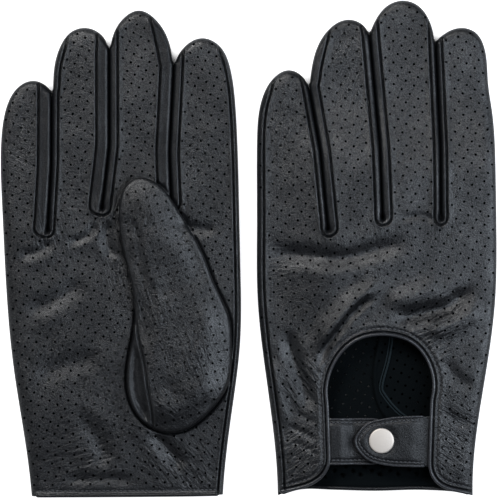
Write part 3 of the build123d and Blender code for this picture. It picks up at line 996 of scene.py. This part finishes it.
def build_hand(glove):
    front = Sheet(glove, True)
    back = Sheet(glove, False)
    weld_normals(front, back, len(glove.outline))
    world = np.vstack([front.world, back.world])
    normals = np.vstack([front.normals, back.normals])
    rest = np.vstack([front.rest, back.rest])
    creases = np.vstack([front.creases, back.creases])
    faces = np.vstack([front.faces, back.faces + len(front.world)])
    labels = np.concatenate([front.labels, back.labels])
    is_hole = np.concatenate([front.fill.is_hole, back.fill.is_hole])
    # holes near the palm's hem get a dark plug on the flesh side: painted shade for the table under the glove
    is_shade_plugged = is_hole & (rest[faces, 1].mean(1) < SHADE_PLUG_BELOW)
    is_shade_plugged[len(front.faces):] = False
    for label in sorted(set(labels)):
        own = labels == label
        material = "smooth_leather" if "fourchette" in label else "perforated_leather"
        piece = shell(
            glove.name(label) + "_leather", world, normals, rest, faces[own & ~is_hole], material, creases,
            plugs=faces[own & is_shade_plugged],
        )
        stand_for(glove, [label])
        finger = label.split("_")[0]
        if finger in FINGERS:
            finger_blend(glove, piece, finger)
        else:
            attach(piece, glove.root)
    return front, back


# ---------------------------------------------------------------- tubes, stitches and pads
def ring_faces(rings, sides):
    """Triangles between neighbouring rings of points."""
    faces = []
    for k in range(rings - 1):
        for s in range(sides):
            a, b = k * sides + s, k * sides + (s + 1) % sides
            faces += [(a, b, b + sides), (a, b + sides, a + sides)]
    return faces


def tube(path, radius, flat=1.0, sides=8, taper=()):
    """Points and faces of a closed tube along 3D points in glove coordinates. Flat squeezes its depth."""
    path = np.asarray(path, float)
    ahead = unit(np.gradient(path, axis=0))
    side = unit(np.cross(ahead, np.array([0.0, 0.0, 1.0])))
    up = np.cross(side, ahead)
    size = np.full(len(path), float(radius))
    for offset, share in enumerate(taper):
        size[offset] *= share
        size[-1 - offset] *= share
    angle = np.arange(sides) * 2 * math.pi / sides
    cos, sin = np.cos(angle)[None, :, None], np.sin(angle)[None, :, None]
    ring = cos * side[:, None, :] + flat * sin * up[:, None, :]
    points = (path[:, None, :] + ring * size[:, None, None]).reshape(-1, 3)
    faces = ring_faces(len(path), sides)
    last = (len(path) - 1) * sides
    for s in range(1, sides - 1):
        faces += [(0, s + 1, s), (last, last + s, last + s + 1)]
    return points, np.array(faces)


def join(parts):
    points, faces, count = [], [], 0
    for part_points, part_faces in parts:
        points.append(part_points)
        faces.append(part_faces + count)
        count += len(part_points)
    return np.vstack(points), np.vstack(faces)


def closed_object(glove, name, part, material):
    """An object from closed surfaces in glove coordinates, its faces turned outwards."""
    points, faces = part
    world = glove.to_frame(points)
    a, b, c = (world[faces[:, k]] for k in range(3))
    if (a * np.cross(b, c)).sum() < 0:
        faces = faces[:, ::-1]
    return new_object(glove.name(name), world, faces, materials=[MATERIALS[material]], rest=points)


def solid(glove, name, part, material, body, replaced=()):
    """A closed object that rides on one body."""
    piece = closed_object(glove, name, part, material)
    stand_for(glove, replaced)
    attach(piece, body)


# five points of a stitch: their share of its length from its middle, and their height over the leather
STITCH_ALONG = np.array([-0.5, -0.3, 0.0, 0.3, 0.5])
STITCH_RISE = np.array([-0.12, 0.18, 0.3, 0.18, -0.12])


def stitch_row(path, depth_at, outward):
    """A row of single stitches, each a small tapered capsule that dips into the leather at its ends."""
    length = cumulative(path)
    parts = []
    count = int(length[-1] / STITCH_PITCH)
    for k in range(count):
        where = (k + 0.5) * length[-1] / count + STITCH_ALONG * STITCH_LENGTH
        run = np.stack([np.interp(where, length, path[:, axis]) for axis in (0, 1)], axis=1)
        depth = depth_at(run) + outward * STITCH_RISE
        parts.append(tube(np.column_stack([run, depth]), STITCH_RADIUS, sides=6, taper=(0.5, 0.9)))
    return join(parts)


PAD_ROWS = (0.06, 0.25, 0.55, 0.8, 1.05, 1.35, 1.7, 2.05, 2.5)
PAD_STEP = 1.0
PAD_ROLL = 0.9  # how far in the rounded rim of a tab reaches
TAB_THICKNESS = 1.1


def pad(ring, top):
    """A closed sheet under a top surface, with a rounded rim."""
    fill = Fill(ring, PAD_ROWS, PAD_STEP)
    distance = closed_path(ring).distance(fill.points)
    upper = top(fill.points)
    lower = upper + TAB_THICKNESS
    middle = (upper + lower) / 2
    round_off = profile(distance, PAD_ROLL)
    upper = middle + (upper - middle) * round_off
    lower = middle + (lower - middle) * round_off
    count = len(fill.points)
    points = np.vstack([np.column_stack([fill.points, upper]), np.column_stack([fill.points, lower])])
    back = fill.triangles[:, ::-1] + count
    for k in fill.ring:
        back[back == k + count] = k
    faces = np.vstack([fill.triangles, back])
    return points, faces


# ---------------------------------------------------------------- thumb
GUSSET_CREASE = [(4.6, 88.5), (6.4, 76.6), (8.7, 66.8), (10.5, 53.4), (12.6, 42.0), (13.2, 33.0)]
THUMB_ROLL = 2.8  # how far in the steep wall round the thumb reaches
THUMB_DOME = 13.0  # and how far in its gentle dome does
THUMB_WALL = 0.6  # the wall's share of the thumb's rise
THUMB_FULLNESS = 0.88
THUMB_SETTLED = 5.0  # folds and waves fade out this near its outline
THUMB_HOLE_MARGIN = 2.2
THUMB_SEWN_DEPTH = 0.5  # the edge of the sewn base lies this far in the palm
THUMB_LIFT_FROM, THUMB_LIFT_OVER = 80.0, 24.0  # the edge of the free part rises over this stretch
THUMB_LIFT_SHARE = 0.32  # by this share of the thumb's rise
GUSSET_TOP, GUSSET_FADE = 92.0, 10.0
GUSSET_DEPTH = 0.3  # the gusset sinks by this share of the thumb's rise
GUSSET_RIDGES = [(-1.1, 0.0, 0.6), (0.3, 1.4, 0.8)]
UNDER_THICKNESS = 0.3  # of the thumb's under face
UNDER_FROM = 82.0  # its lower end
UNDER_GAP = 0.15  # between it and the palm
UNDER_ROLL = 5.0  # how far in from the outline it reaches its level
THUMB_BEND = (-2.0, 16.0)  # where a bend would start and end, along the thumb from its joint; the piece itself doesn't bend


def thumb_height(glove, crease, points, lift):
    """How far the thumb's outer face stands above the palm: its lifted edge, its dome and its gusset."""
    rise = glove.thumb_level - glove.palm_level
    distance = glove.thumb_rim.distance(points)
    off = Path(crease).distance(points)
    dome = smooth(distance / THUMB_DOME)
    shape = THUMB_WALL * profile(distance, THUMB_ROLL) + (1 - THUMB_WALL) * dome
    height = lift + (THUMB_FULLNESS * rise - lift) * shape
    low = smooth((GUSSET_TOP - points[:, 1]) / GUSSET_FADE)
    sunk = GUSSET_DEPTH * rise * smooth(off / 4) * smooth(distance / 4)
    height -= low * beside_crease(crease, points) * sunk
    height += low * ridges(off, GUSSET_RIDGES)
    seed = 51.3 if glove.right else 61.3
    uneven = waves(points, THUMB_WAVES, seed) - THUMB_SINK + fold_height(THUMB_FOLDS, points)
    return height + smooth(distance / THUMB_SETTLED) * uneven


def build_thumb(glove, front):
    outline, rim = glove.thumb_outline, glove.thumb_rim
    crease = curve(GUSSET_CREASE, OUTLINE_STEP)
    crease = crease[inside(crease, outline) & (rim.distance(crease) > 0.5)]
    holes = lattice(THUMB_ROWS, THUMB_CENTRE, 40)
    holes = holes[inside(holes, outline) & (rim.distance(holes) > THUMB_HOLE_MARGIN)]
    holes = holes[Path(crease).distance(holes) > HOLE_SEAM_MARGIN]
    fill = Fill(outline, RIM_ROWS, SHEET_STEP, [crease], holes)
    points = fill.points
    base = front.depth_at(points, seams=False)
    free = smooth((points[:, 1] - THUMB_LIFT_FROM) / THUMB_LIFT_OVER)
    lifted = THUMB_LIFT_SHARE * (glove.thumb_level - glove.palm_level)
    lift = -THUMB_SEWN_DEPTH + free * (lifted + THUMB_SEWN_DEPTH)
    full = thumb_height(glove, crease, points, lift)
    rest = np.column_stack([points, base + full])
    world = glove.to_frame(rest)
    faces = glove.faces(fill.triangles, True)
    normals = vertex_normals(world, faces)
    # the under face starts a little below the bend and closes the lifted part
    raised = np.maximum(lift - UNDER_GAP, 0) * (1 - profile(rim.distance(points), UNDER_ROLL))
    under_depth = np.minimum(base + UNDER_GAP + raised, base + full - UNDER_THICKNESS)
    under_rest = np.column_stack([points, under_depth])
    under_rest[fill.ring, 2] = rest[fill.ring, 2]
    under_world = glove.to_frame(under_rest)
    middle = fill.middles()
    under_pick = (middle[:, 1] > UNDER_FROM) & ~fill.is_hole
    under_faces = glove.faces(fill.triangles, False)[under_pick]
    under_normals = vertex_normals(under_world, under_faces)
    total = normals[fill.ring] + under_normals[fill.ring]
    normals[fill.ring] = total
    under_normals[fill.ring] = total
    normals, under_normals = unit(normals), unit(under_normals)
    gusset_pick = beside_crease(crease, middle)
    creases = crease_field(THUMB_CREASES, points)
    gusset = shell(
        glove.name("thumb_gusset_leather"), world, normals, rest, faces[gusset_pick],
        "smooth_leather", creases,
    )
    stand_for(glove, ["thumb_gusset"])
    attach(gusset, glove.root)
    upper = shell(
        glove.name("thumb_front_leather"), world, normals, rest, faces[~gusset_pick & ~fill.is_hole],
        "perforated_leather", creases,
    )
    under = shell(
        glove.name("thumb_back_leather"), under_world, under_normals, under_rest, under_faces,
        "perforated_leather", creases, UNDER_THICKNESS,
    )
    for piece, nodes in ((upper, ["thumb_front", "thumb_root"]), (under, ["thumb_back"])):
        stand_for(glove, nodes)
        blend(glove, piece, "thumb", glove.bends["thumb_lift"][0], (0, 1, 0), THUMB_BEND)


def beside_crease(crease, points):
    """Points to the little-finger side of the crease."""
    x = np.interp(points[:, 1], crease[::-1, 1], crease[::-1, 0])
    return (points[:, 0] < x) & (points[:, 1] < crease[0, 1])


# ---------------------------------------------------------------- bindings, strap and press stud
HEM_TRIM = 4  # points left off each end of the hem, so that its roll stays inside the outline
# rolls: how far beyond the edge their middle lies, and how far below the leather's outer face
KEYHOLE_ROLL = (-0.55, 0.35)
HEM_ROLL = (0.35, -0.45)
STITCH_MARGIN = 3.0  # a row of stitches ends this far from the outline
KEYHOLE_STITCH_MARGIN = 4.0


def beside(edge, offsets, sheet):
    """A run of 3D points beside an edge: offset to its right, and in depth from the leather there."""
    right, deeper = offsets
    return np.column_stack([edge + right_normals(edge) * right, sheet.depth_at(edge) + deeper])


def build_edges(glove, front, back):
    edge = back.edge
    middle = beside(edge, KEYHOLE_ROLL, back)
    roll = tube(middle, BINDING_RADIUS, 1.05, 10, taper=(0.4, 0.8))
    solid(glove, "keyhole_roll", roll, "edge_leather", glove.root, ["keyhole_binding"])
    row = resample(rounded(edge + right_normals(edge) * KEYHOLE_STITCH_INSET, 3), ROW_STEP)
    row = row[glove.path.distance(row) > KEYHOLE_STITCH_MARGIN]
    stitches = stitch_row(row, back.depth_at, -1)
    solid(glove, "keyhole_stitches", stitches, "thread", glove.root, ["edge_stitching"])
    hem = resample(front.edge, ROW_STEP)[HEM_TRIM:-HEM_TRIM]
    middle = beside(hem, HEM_ROLL, front)
    roll = tube(middle, HEM_RADIUS, 1.0, 10, taper=(0.3, 0.75))
    solid(glove, "hem_roll", roll, "smooth_leather", glove.root, ["cuff_binding"])
    row = resample(hem + right_normals(hem) * HEM_STITCH_INSET, ROW_STEP)
    row = row[glove.path.distance(row) > STITCH_MARGIN]
    solid(glove, "hem_stitches", stitch_row(row, front.depth_at, 1), "thread", glove.root)


# the seam's ridge and welt: their radius, and the depth of their middle from the palm's outer face
RIDGE_RADIUS, RIDGE_INSIDE = 0.6, -LEATHER - 0.35
WELT_RADIUS, WELT_INSIDE = 0.4, -LEATHER - 0.1
WELT_OFFSET = 1.3
INNER_SEAM = [(9.4, 86), (8.3, 75.5), (6.8, 67), (3.8, 55.5), (5.3, 50.5), (12.8, 42), (24, 35)]


def build_inner_seam(glove, front):
    """The raised seam of the thumb on the palm's flesh side, seen through the keyhole."""
    run = curve(INNER_SEAM, 0.7)
    ridge = tube(beside(run, (0.0, RIDGE_INSIDE), front), RIDGE_RADIUS, 1.3)
    run = run + right_normals(run) * WELT_OFFSET
    welt = tube(beside(run, (0.0, WELT_INSIDE), front), WELT_RADIUS)
    solid(glove, "thumb_seam_inside", join([ridge, welt]), "flesh_edge", glove.root)


# The cap tab: its upper corner and its rounded end and lower edge. From there it runs straight.
TAB_CORNER = (8.8, 39.7)
TAB_TOP_EDGE = 40.3
CAP_TAB = [
    (-2.4, 37.3), (-8.0, 32.5), (-10.0, 27.9), (-8.0, 23.0), (-2.4, 18.2), (7.2, 15.9), (20.0, 15.3),
]
TAB_TUCK = 5.5  # how far a tab reaches under the keyhole's edge
STUD_TAB_LOW_Y = 16.4
STUD_TAB_HIGH_Y = 39.0
STUD_TAB_END_X = 9.5
STRAP_TOP = 46.0
TUCK_GAP = 0.5
TAB_TOP = 1.25
TAB_DIP = 0.95  # the tab sinks towards its sewn end
DIP_FROM, DIP_OVER = 17.0, 9.0
STUD_TAB_TOP = 2.1
STUD_TAB_RISE = 2.8  # and the lower tab dips under the upper one
SLOPE_FROM, SLOPE_OVER = -17.5, 7.0
TAB_WAVE = 0.12
SNAP_DENT = (0.5, 6.2, 1.6)  # pressed down in a ring round the snap: depth, radius and width
TAB_STITCH_INSET = 2.0
TAB_GROOVES = [(-0.5, TAB_STITCH_INSET, 0.4), (-0.7, 0.95, 0.3)]  # depth, distance from the rim and width
PLUMP_REACH = 3.0
CAP_TAB_PLUMP, STUD_TAB_PLUMP = 0.4, 0.35
TUCK_FROM, TUCK_OVER = 1.5, 2.0  # a tab goes under from this far before the keyhole's edge, over this far
TRIM_STOP, STUD_TRIM_STOP = 3.5, 0.5  # the stitches and rolled edge stop this far from the keyhole's edge
PIPING_RADIUS = 0.6
PIPING_INSET = 0.25
PIPING_SINK = 0.3
STRAP_BEND = (1.5, -3.0)  # where a bend would start and end, across the strap from its joint; the piece itself doesn't bend


def keyhole_side(edge, sign, low_y):
    """Where the keyhole's edge crosses the strap, on the side of a sign."""
    part = edge[(sign * edge[:, 0] > 10) & (edge[:, 1] < STRAP_TOP) & (edge[:, 1] > low_y)]
    return float(np.median(part[:, 0]))


def tucked_under(back, points, free, share):
    """The depth of a tab's top, which goes under the back panel where the share is 1."""
    return free * (1 - share) + share * (back.depth_at(points) + LEATHER + TUCK_GAP)


def tab_relief(distance, plumpness):
    """How far a tab's top stands up at a distance inside its rim: plump, with two grooves."""
    return plumpness * (1 - bell(distance / PLUMP_REACH)) + ridges(distance, TAB_GROOVES)


def trim_tab(glove, name, free, top, body, replaced=()):
    """A row of stitches and a rolled edge along a tab's free edge."""
    row = resample(rounded(free + right_normals(free) * TAB_STITCH_INSET, 3), ROW_STEP)
    solid(glove, name + "_stitches", stitch_row(row, top, -1), "thread", body, replaced)
    run = free + right_normals(free) * PIPING_INSET
    piping = tube(np.column_stack([run, top(run) + PIPING_SINK]), PIPING_RADIUS)
    solid(glove, name + "_piping", piping, "edge_leather", body)


def build_strap(glove, back):
    edge_x = keyhole_side(back.edge, 1, 12.0)
    tuck = edge_x + TAB_TUCK
    upper = curve([TAB_CORNER, *CAP_TAB], OUTLINE_STEP)
    low, high = CAP_TAB[-1], (CAP_TAB[-1][0], TAB_TOP_EDGE)
    ends = (tuck, low[1]), (tuck, high[1])
    top_run, low_run, end_run = (
        resample(run, OUTLINE_STEP) for run in ([ends[1], high, TAB_CORNER], [low, ends[0]], ends)
    )
    ring = np.vstack([top_run[:-1], upper[:-1], low_run[:-1], end_run[:-1]])[::-1]

    def top(points):
        dip = smooth((points[:, 0] - DIP_FROM) / DIP_OVER)
        tucked = smooth((points[:, 0] - edge_x + TUCK_FROM) / TUCK_OVER)
        plump = tab_relief(rim.distance(points), CAP_TAB_PLUMP)
        pressed = ridges(np.hypot(*(points - SNAP_IN_GLOVE).T), [SNAP_DENT])
        free = TAB_TOP + TAB_DIP * dip - plump * (1 - dip) + pressed + TAB_WAVE * wavy(points, 6, 8.1)
        return tucked_under(back, points, free, tucked)

    rim = closed_path(ring)
    body = glove.name("strap")
    piece = closed_object(glove, "cap_tab_leather", pad(ring, top), "strap_leather")
    stand_for(glove, ["cap_tab", "cap_tab_root"])
    blend(glove, piece, "strap", glove.bends["strap_open"][0], (1, 0, 0), STRAP_BEND)
    free = np.vstack([top_run[:-1], upper[:-1], low_run])
    free = free[free[:, 0] < edge_x - TRIM_STOP][::-1]
    trim_tab(glove, "cap_tab", free, top, body, ["cap_tab_stitching"])
    build_stud_tab(glove, back)
    build_snap(glove, body)


def build_stud_tab(glove, back):
    edge_x = keyhole_side(back.edge, -1, 18.0)
    tuck = edge_x - TAB_TUCK
    radius = (STUD_TAB_HIGH_Y - STUD_TAB_LOW_Y) / 2
    centre = np.array([STUD_TAB_END_X - radius, STUD_TAB_LOW_Y + radius])
    nose = centre + radius * heading(np.linspace(-90, 90, 40))
    run = np.vstack([[(tuck, STUD_TAB_LOW_Y)], nose, [(tuck, STUD_TAB_HIGH_Y)]])
    ring = resample(np.vstack([run, run[:1]]), OUTLINE_STEP)[:-1][::-1]
    rim = closed_path(ring)

    def top(points):
        slope = smooth((points[:, 0] - SLOPE_FROM) / SLOPE_OVER)
        plump = tab_relief(rim.distance(points), STUD_TAB_PLUMP)
        tucked = smooth((edge_x + TUCK_FROM - points[:, 0]) / TUCK_OVER)
        free = STUD_TAB_TOP + STUD_TAB_RISE * slope - plump + TAB_WAVE * wavy(points, 6, 5.5)
        return tucked_under(back, points, free, tucked)

    solid(glove, "stud_tab_leather", pad(ring, top), "strap_leather", glove.root, ["stud_tab"])
    free = resample(run, OUTLINE_STEP)[::-1]
    free = free[free[:, 0] > edge_x - STUD_TRIM_STOP]
    trim_tab(glove, "stud_tab", free, top, glove.root)


def lathe(centre, profile_points, sides=64):
    """A closed turned shape round a depth axis: profile points are (radius, depth)."""
    circle = heading(np.arange(sides) * 360 / sides)
    points = [
        np.column_stack([centre + radius * circle, np.full(sides, depth)]) for radius, depth in profile_points
    ]
    return np.vstack(points), np.array(ring_faces(len(profile_points), sides))


# the snap cap: how far its dome falls towards its rim, and the rim's points as a share of the radius
# and a depth below the dome's top
SNAP_DOME = 0.3
SNAP_DOME_SHARE = 0.9
SNAP_RIM = [(0.93, 0.3), (0.965, 0.4), (0.99, 0.6), (1.0, 0.9), (0.99, 1.2)]
SNAP_BACK_SHARE = 0.95
SNAP_AXIS = 0.001  # radius of the tiny rings that close the cap at its axis


def build_snap(glove, body):
    cap = glove.vertices("snap_cap")
    face, back = cap[:, 2].min(), cap[:, 2].max()
    radius = np.hypot(*(cap[:, :2] - SNAP_IN_GLOVE).T).max()
    dome = [(r * radius, face + SNAP_DOME * r**2) for r in np.linspace(SNAP_AXIS, SNAP_DOME_SHARE, 16)]
    rim = [(share * radius, face + depth) for share, depth in SNAP_RIM]
    rim += [(SNAP_BACK_SHARE * radius, back), (SNAP_AXIS, back)]
    solid(glove, "snap_cap_metal", lathe(SNAP_IN_GLOVE, dome + rim), "snap_metal", body, ["snap_cap"])
    for part in ("snap_socket", "snap_stud", "snap_post"):
        kept = frame["nodes"][glove.name(part)]
        kept.data.materials.clear()
        kept.data.materials.append(MATERIALS["snap_metal"])


# ---------------------------------------------------------------- materials
def new_material(name):
    material = bpy.data.materials.new(name)
    material.use_nodes = True
    tree = material.node_tree
    return material, tree, tree.nodes["Principled BSDF"]


def node(tree, kind, **values):
    """A node with some of its settings or inputs filled in. An input may be a value or another output."""
    made = tree.nodes.new(kind)
    for key, value in values.items():
        if hasattr(made, key):
            setattr(made, key, value)
            continue
        socket = made.inputs[key.replace("_", " ")]
        if isinstance(value, bpy.types.NodeSocket):
            tree.links.new(value, socket)
        else:
            socket.default_value = value
    return made


def map_range(tree, source, low, high, to_low, to_high):
    ends = {"From_Min": low, "From_Max": high, "To_Min": to_low, "To_Max": to_high}
    return node(tree, "ShaderNodeMapRange", Value=source, **ends).outputs["Result"]


def maths(tree, operation, *terms):
    made = node(tree, "ShaderNodeMath", operation=operation)
    for socket, term in zip(made.inputs, terms):
        if isinstance(term, bpy.types.NodeSocket):
            tree.links.new(term, socket)
        else:
            socket.default_value = term
    return made.outputs[0]


def mix(tree, factor, first, second):
    """A colour between two others."""
    made = node(tree, "ShaderNodeMix", data_type="RGBA", Factor=factor, A=(*first, 1), B=(*second, 1))
    return made.outputs["Result"]


def attribute_of(tree, name):
    return node(tree, "ShaderNodeAttribute", attribute_name=name).outputs["Vector"]


def bump(tree, height, distance):
    return node(tree, "ShaderNodeBump", Height=height, Distance=distance).outputs["Normal"]


def set_inputs(tree, shader, **values):
    """Fills in the shader's inputs, each with a value or another node's output."""
    for key, value in values.items():
        socket = shader.inputs[key.replace("_", " ")]
        if isinstance(value, bpy.types.NodeSocket):
            tree.links.new(value, socket)
        else:
            socket.default_value = value


CREASE_HEIGHT = 0.24
PATCH_SCALE = 0.055  # worn and matt patches, about 18 mm across


def leather_material(name, colour, roughness, grain_size, grain_height, sheen_scale=1.0):
    """Black leather: a pebbled surface and fine creases that catch the light, in worn and matt patches. Its
    colour is darker in the valleys between the pebbles, which is painted shade, and lighter or darker at
    random with the pores.
    """
    material, tree, shader = new_material(name)
    place = attribute_of(tree, "rest")
    cells = node(tree, "ShaderNodeTexVoronoi", feature="DISTANCE_TO_EDGE", Vector=place, Scale=1 / grain_size)
    pores = node(tree, "ShaderNodeTexNoise", Vector=place, Scale=0.9 / grain_size, Detail=3.0, Roughness=0.6)
    patches = node(tree, "ShaderNodeTexNoise", Vector=place, Scale=PATCH_SCALE, Detail=4.0, Roughness=0.55)
    # 0 at the edges between the pebbles: the valleys of the relief, which the colour also darkens as painted
    #                                     shade
    pebble_relief_and_shade = map_range(tree, cells.outputs["Distance"], 0.0, 0.25, 0.0, 1.0)
    speckle = map_range(tree, pores.outputs["Fac"], 0.34, 0.66, 0.0, 1.0)
    grain_and_valley_shade = maths(tree, "MULTIPLY_ADD", speckle, 0.65, maths(tree, "MULTIPLY", pebble_relief_and_shade, 0.35))
    crease_place = attribute_of(tree, "creases")
    wrinkles = node(tree, "ShaderNodeTexNoise", Vector=crease_place, Scale=1.0, Detail=2.0)
    strength = node(tree, "ShaderNodeSeparateXYZ", Vector=crease_place).outputs["Z"]
    wrinkle = map_range(tree, wrinkles.outputs["Fac"], 0.3, 0.7, -1.0, 1.0)
    wrinkle = maths(tree, "MULTIPLY", wrinkle, strength)
    height = maths(tree, "MULTIPLY_ADD", wrinkle, CREASE_HEIGHT, maths(tree, "MULTIPLY", grain_and_valley_shade, grain_height))
    patch = patches.outputs["Fac"]
    worn = map_range(tree, patch, 0.38, 0.62, 0.82 * sheen_scale, 1.12 * sheen_scale)
    set_inputs(
        tree, shader,
        Normal=bump(tree, height, MM),
        Specular_IOR_Level=maths(tree, "MULTIPLY", map_range(tree, grain_and_valley_shade, 0.1, 0.9, 0.40, 1.0), worn),
        Roughness=map_range(tree, patch, 0.35, 0.65, roughness + 0.04, roughness - 0.03),
        # the colour is darker in the valleys between the pebbles, which is painted shade, and varies at
        # random with the pores
        Base_Color=mix(tree, grain_and_valley_shade, [c * 0.7 for c in colour], [c * 1.3 for c in colour]),
    )
    return material


def suede_material(name, light):
    """The leather's flesh side: short matt fibres."""
    material, tree, shader = new_material(name)
    place = attribute_of(tree, "rest")
    fibres = node(tree, "ShaderNodeTexNoise", Vector=place, Scale=2.2, Detail=6.0).outputs["Fac"]
    dark = [light * c for c in (0.004, 0.006, 0.007)]
    pale = [light * c for c in (0.010, 0.014, 0.016)]
    set_inputs(
        tree, shader, Base_Color=mix(tree, fibres, dark, pale), Normal=bump(tree, fibres, 0.1 * MM),
        Roughness=0.95, Specular_IOR_Level=0.05,
    )
    return material


def thread_material():
    material, tree, shader = new_material("thread")
    twist = node(tree, "ShaderNodeTexWave", Vector=attribute_of(tree, "rest"), Scale=3.0, Distortion=1.0)
    colour = mix(tree, twist.outputs["Fac"], (0.045, 0.047, 0.052), (0.09, 0.092, 0.10))
    set_inputs(tree, shader, Base_Color=colour, Roughness=0.55)
    return material


def snap_material():
    """Brushed metal with a warm tint."""
    material, tree, shader = new_material("snap_metal")
    place = node(tree, "ShaderNodeTexCoord").outputs["Object"]
    brushed = node(tree, "ShaderNodeTexNoise", Vector=place, Scale=900.0, Detail=3.0).outputs["Fac"]
    set_inputs(
        tree, shader, Base_Color=(0.84, 0.76, 0.68, 1), Metallic=0.55,
        Roughness=map_range(tree, brushed, 0.0, 1.0, 0.45, 0.55),
    )
    return material


def paper_material():
    """White paper that glows a little so that it stays white, but not where a glove covers it."""
    material, tree, shader = new_material("floor")
    open_sky = node(tree, "ShaderNodeAmbientOcclusion", Distance=0.05).outputs["AO"]
    seen = node(tree, "ShaderNodeLightPath").outputs["Is Camera Ray"]
    set_inputs(
        tree, shader, Base_Color=(0.7, 0.7, 0.7, 1), Roughness=0.9, Emission_Color=(1, 1, 1, 1),
        Emission_Strength=maths(tree, "MULTIPLY", map_range(tree, open_sky, 0.22, 0.3, 0.0, 1.0), seen),
    )
    return material


# ---------------------------------------------------------------- stage (metres)
FLOOR_HALF = 1.5
FLOOR_LEVEL = -0.0004
CAMERA_HEIGHT = 3.0
CAMERA_FIELD = 0.250  # how wide a stretch of the floor the camera sees


def build_stage():
    corners = [(-1, -1), (1, -1), (1, 1), (-1, 1)]
    floor = new_object(
        "floor", [(x * FLOOR_HALF, y * FLOOR_HALF, FLOOR_LEVEL) for x, y in corners], [(0, 1, 2, 3)],
        materials=[paper_material()],
    )


def area_light(name, position, target, size, power, colour):
    light = bpy.data.lights.new(name, "AREA")
    light.shape = "RECTANGLE"
    light.size, light.size_y = size
    light.energy = power
    light.color = colour
    made = bpy.data.objects.new(name, light)
    made.location = position
    made.rotation_euler = (Vector(target) - Vector(position)).to_track_quat("-Z", "Y").to_euler()
    made.visible_camera = False
    bpy.context.scene.collection.objects.link(made)


def build_lights():
    """A soft key light from the upper left, two weaker ones from the sides, and a white background."""
    world = bpy.data.worlds.new("studio")
    bpy.context.scene.world = world
    world.use_nodes = True
    tree = world.node_tree
    seen = node(tree, "ShaderNodeLightPath").outputs["Is Camera Ray"]
    colour = mix(tree, seen, (0.10, 0.104, 0.115), (1, 1, 1))
    tree.links.new(colour, tree.nodes["Background"].inputs["Color"])
    area_light("key", (-0.34, 0.62, 0.75), (0, 0, 0), (0.35, 0.35), 5.6, (1.0, 1.0, 1.0))
    area_light("right_fill", (0.46, 0.0, 0.45), (0.08, 0, 0), (0.3, 0.6), 2.8, (0.80, 0.89, 1.0))
    area_light("left_fill", (-0.9, -0.2, 0.45), (-0.05, 0, 0), (0.4, 0.9), 0.7, (0.9, 0.95, 1.0))


def build_camera():
    camera = bpy.data.cameras.new("camera")
    camera.sensor_width = 36
    camera.lens = camera.sensor_width * CAMERA_HEIGHT / CAMERA_FIELD
    camera.clip_end = 20
    made = bpy.data.objects.new("camera", camera)
    made.location = (0.0003, -0.00085, CAMERA_HEIGHT)
    bpy.context.scene.collection.objects.link(made)
    bpy.context.scene.camera = made


# ---------------------------------------------------------------- the pair
MATERIALS = {
    "perforated_leather": leather_material("perforated_leather", (0.0046, 0.0052, 0.0063), 0.31, 0.75, 0.125),
    "smooth_leather": leather_material("smooth_leather", (0.0045, 0.0050, 0.0062), 0.35, 0.65, 0.07, 0.75),
    "strap_leather": leather_material("strap_leather", (0.0045, 0.0050, 0.0062), 0.38, 0.65, 0.08, 0.7),
    # the rolled edges and piping: the same black leather made several times lighter, a painted highlight
    # along them
    "edge_leather": leather_material("edge_leather", (0.026, 0.027, 0.031), 0.30, 0.65, 0.05),
    "suede": suede_material("suede", 0.45),
    "flesh_edge": suede_material("flesh_edge", 2.2),
    "thread": thread_material(),
    "snap_metal": snap_material(),
}
# the frame's material slot that each material stands for; the flesh side has none
SLOTS = {name: name for name in ("perforated_leather", "smooth_leather", "thread", "snap_metal")}
SLOTS.update(strap_leather="smooth_leather", edge_leather="smooth_leather")

for side in ("right", "left"):
    glove = Glove(side)
    front, back = build_hand(glove)
    build_thumb(glove, front)
    build_edges(glove, front, back)
    build_inner_seam(glove, front)
    build_strap(glove, back)

build_stage()
build_lights()
build_camera()
bpy.context.scene.view_settings.view_transform = "Standard"
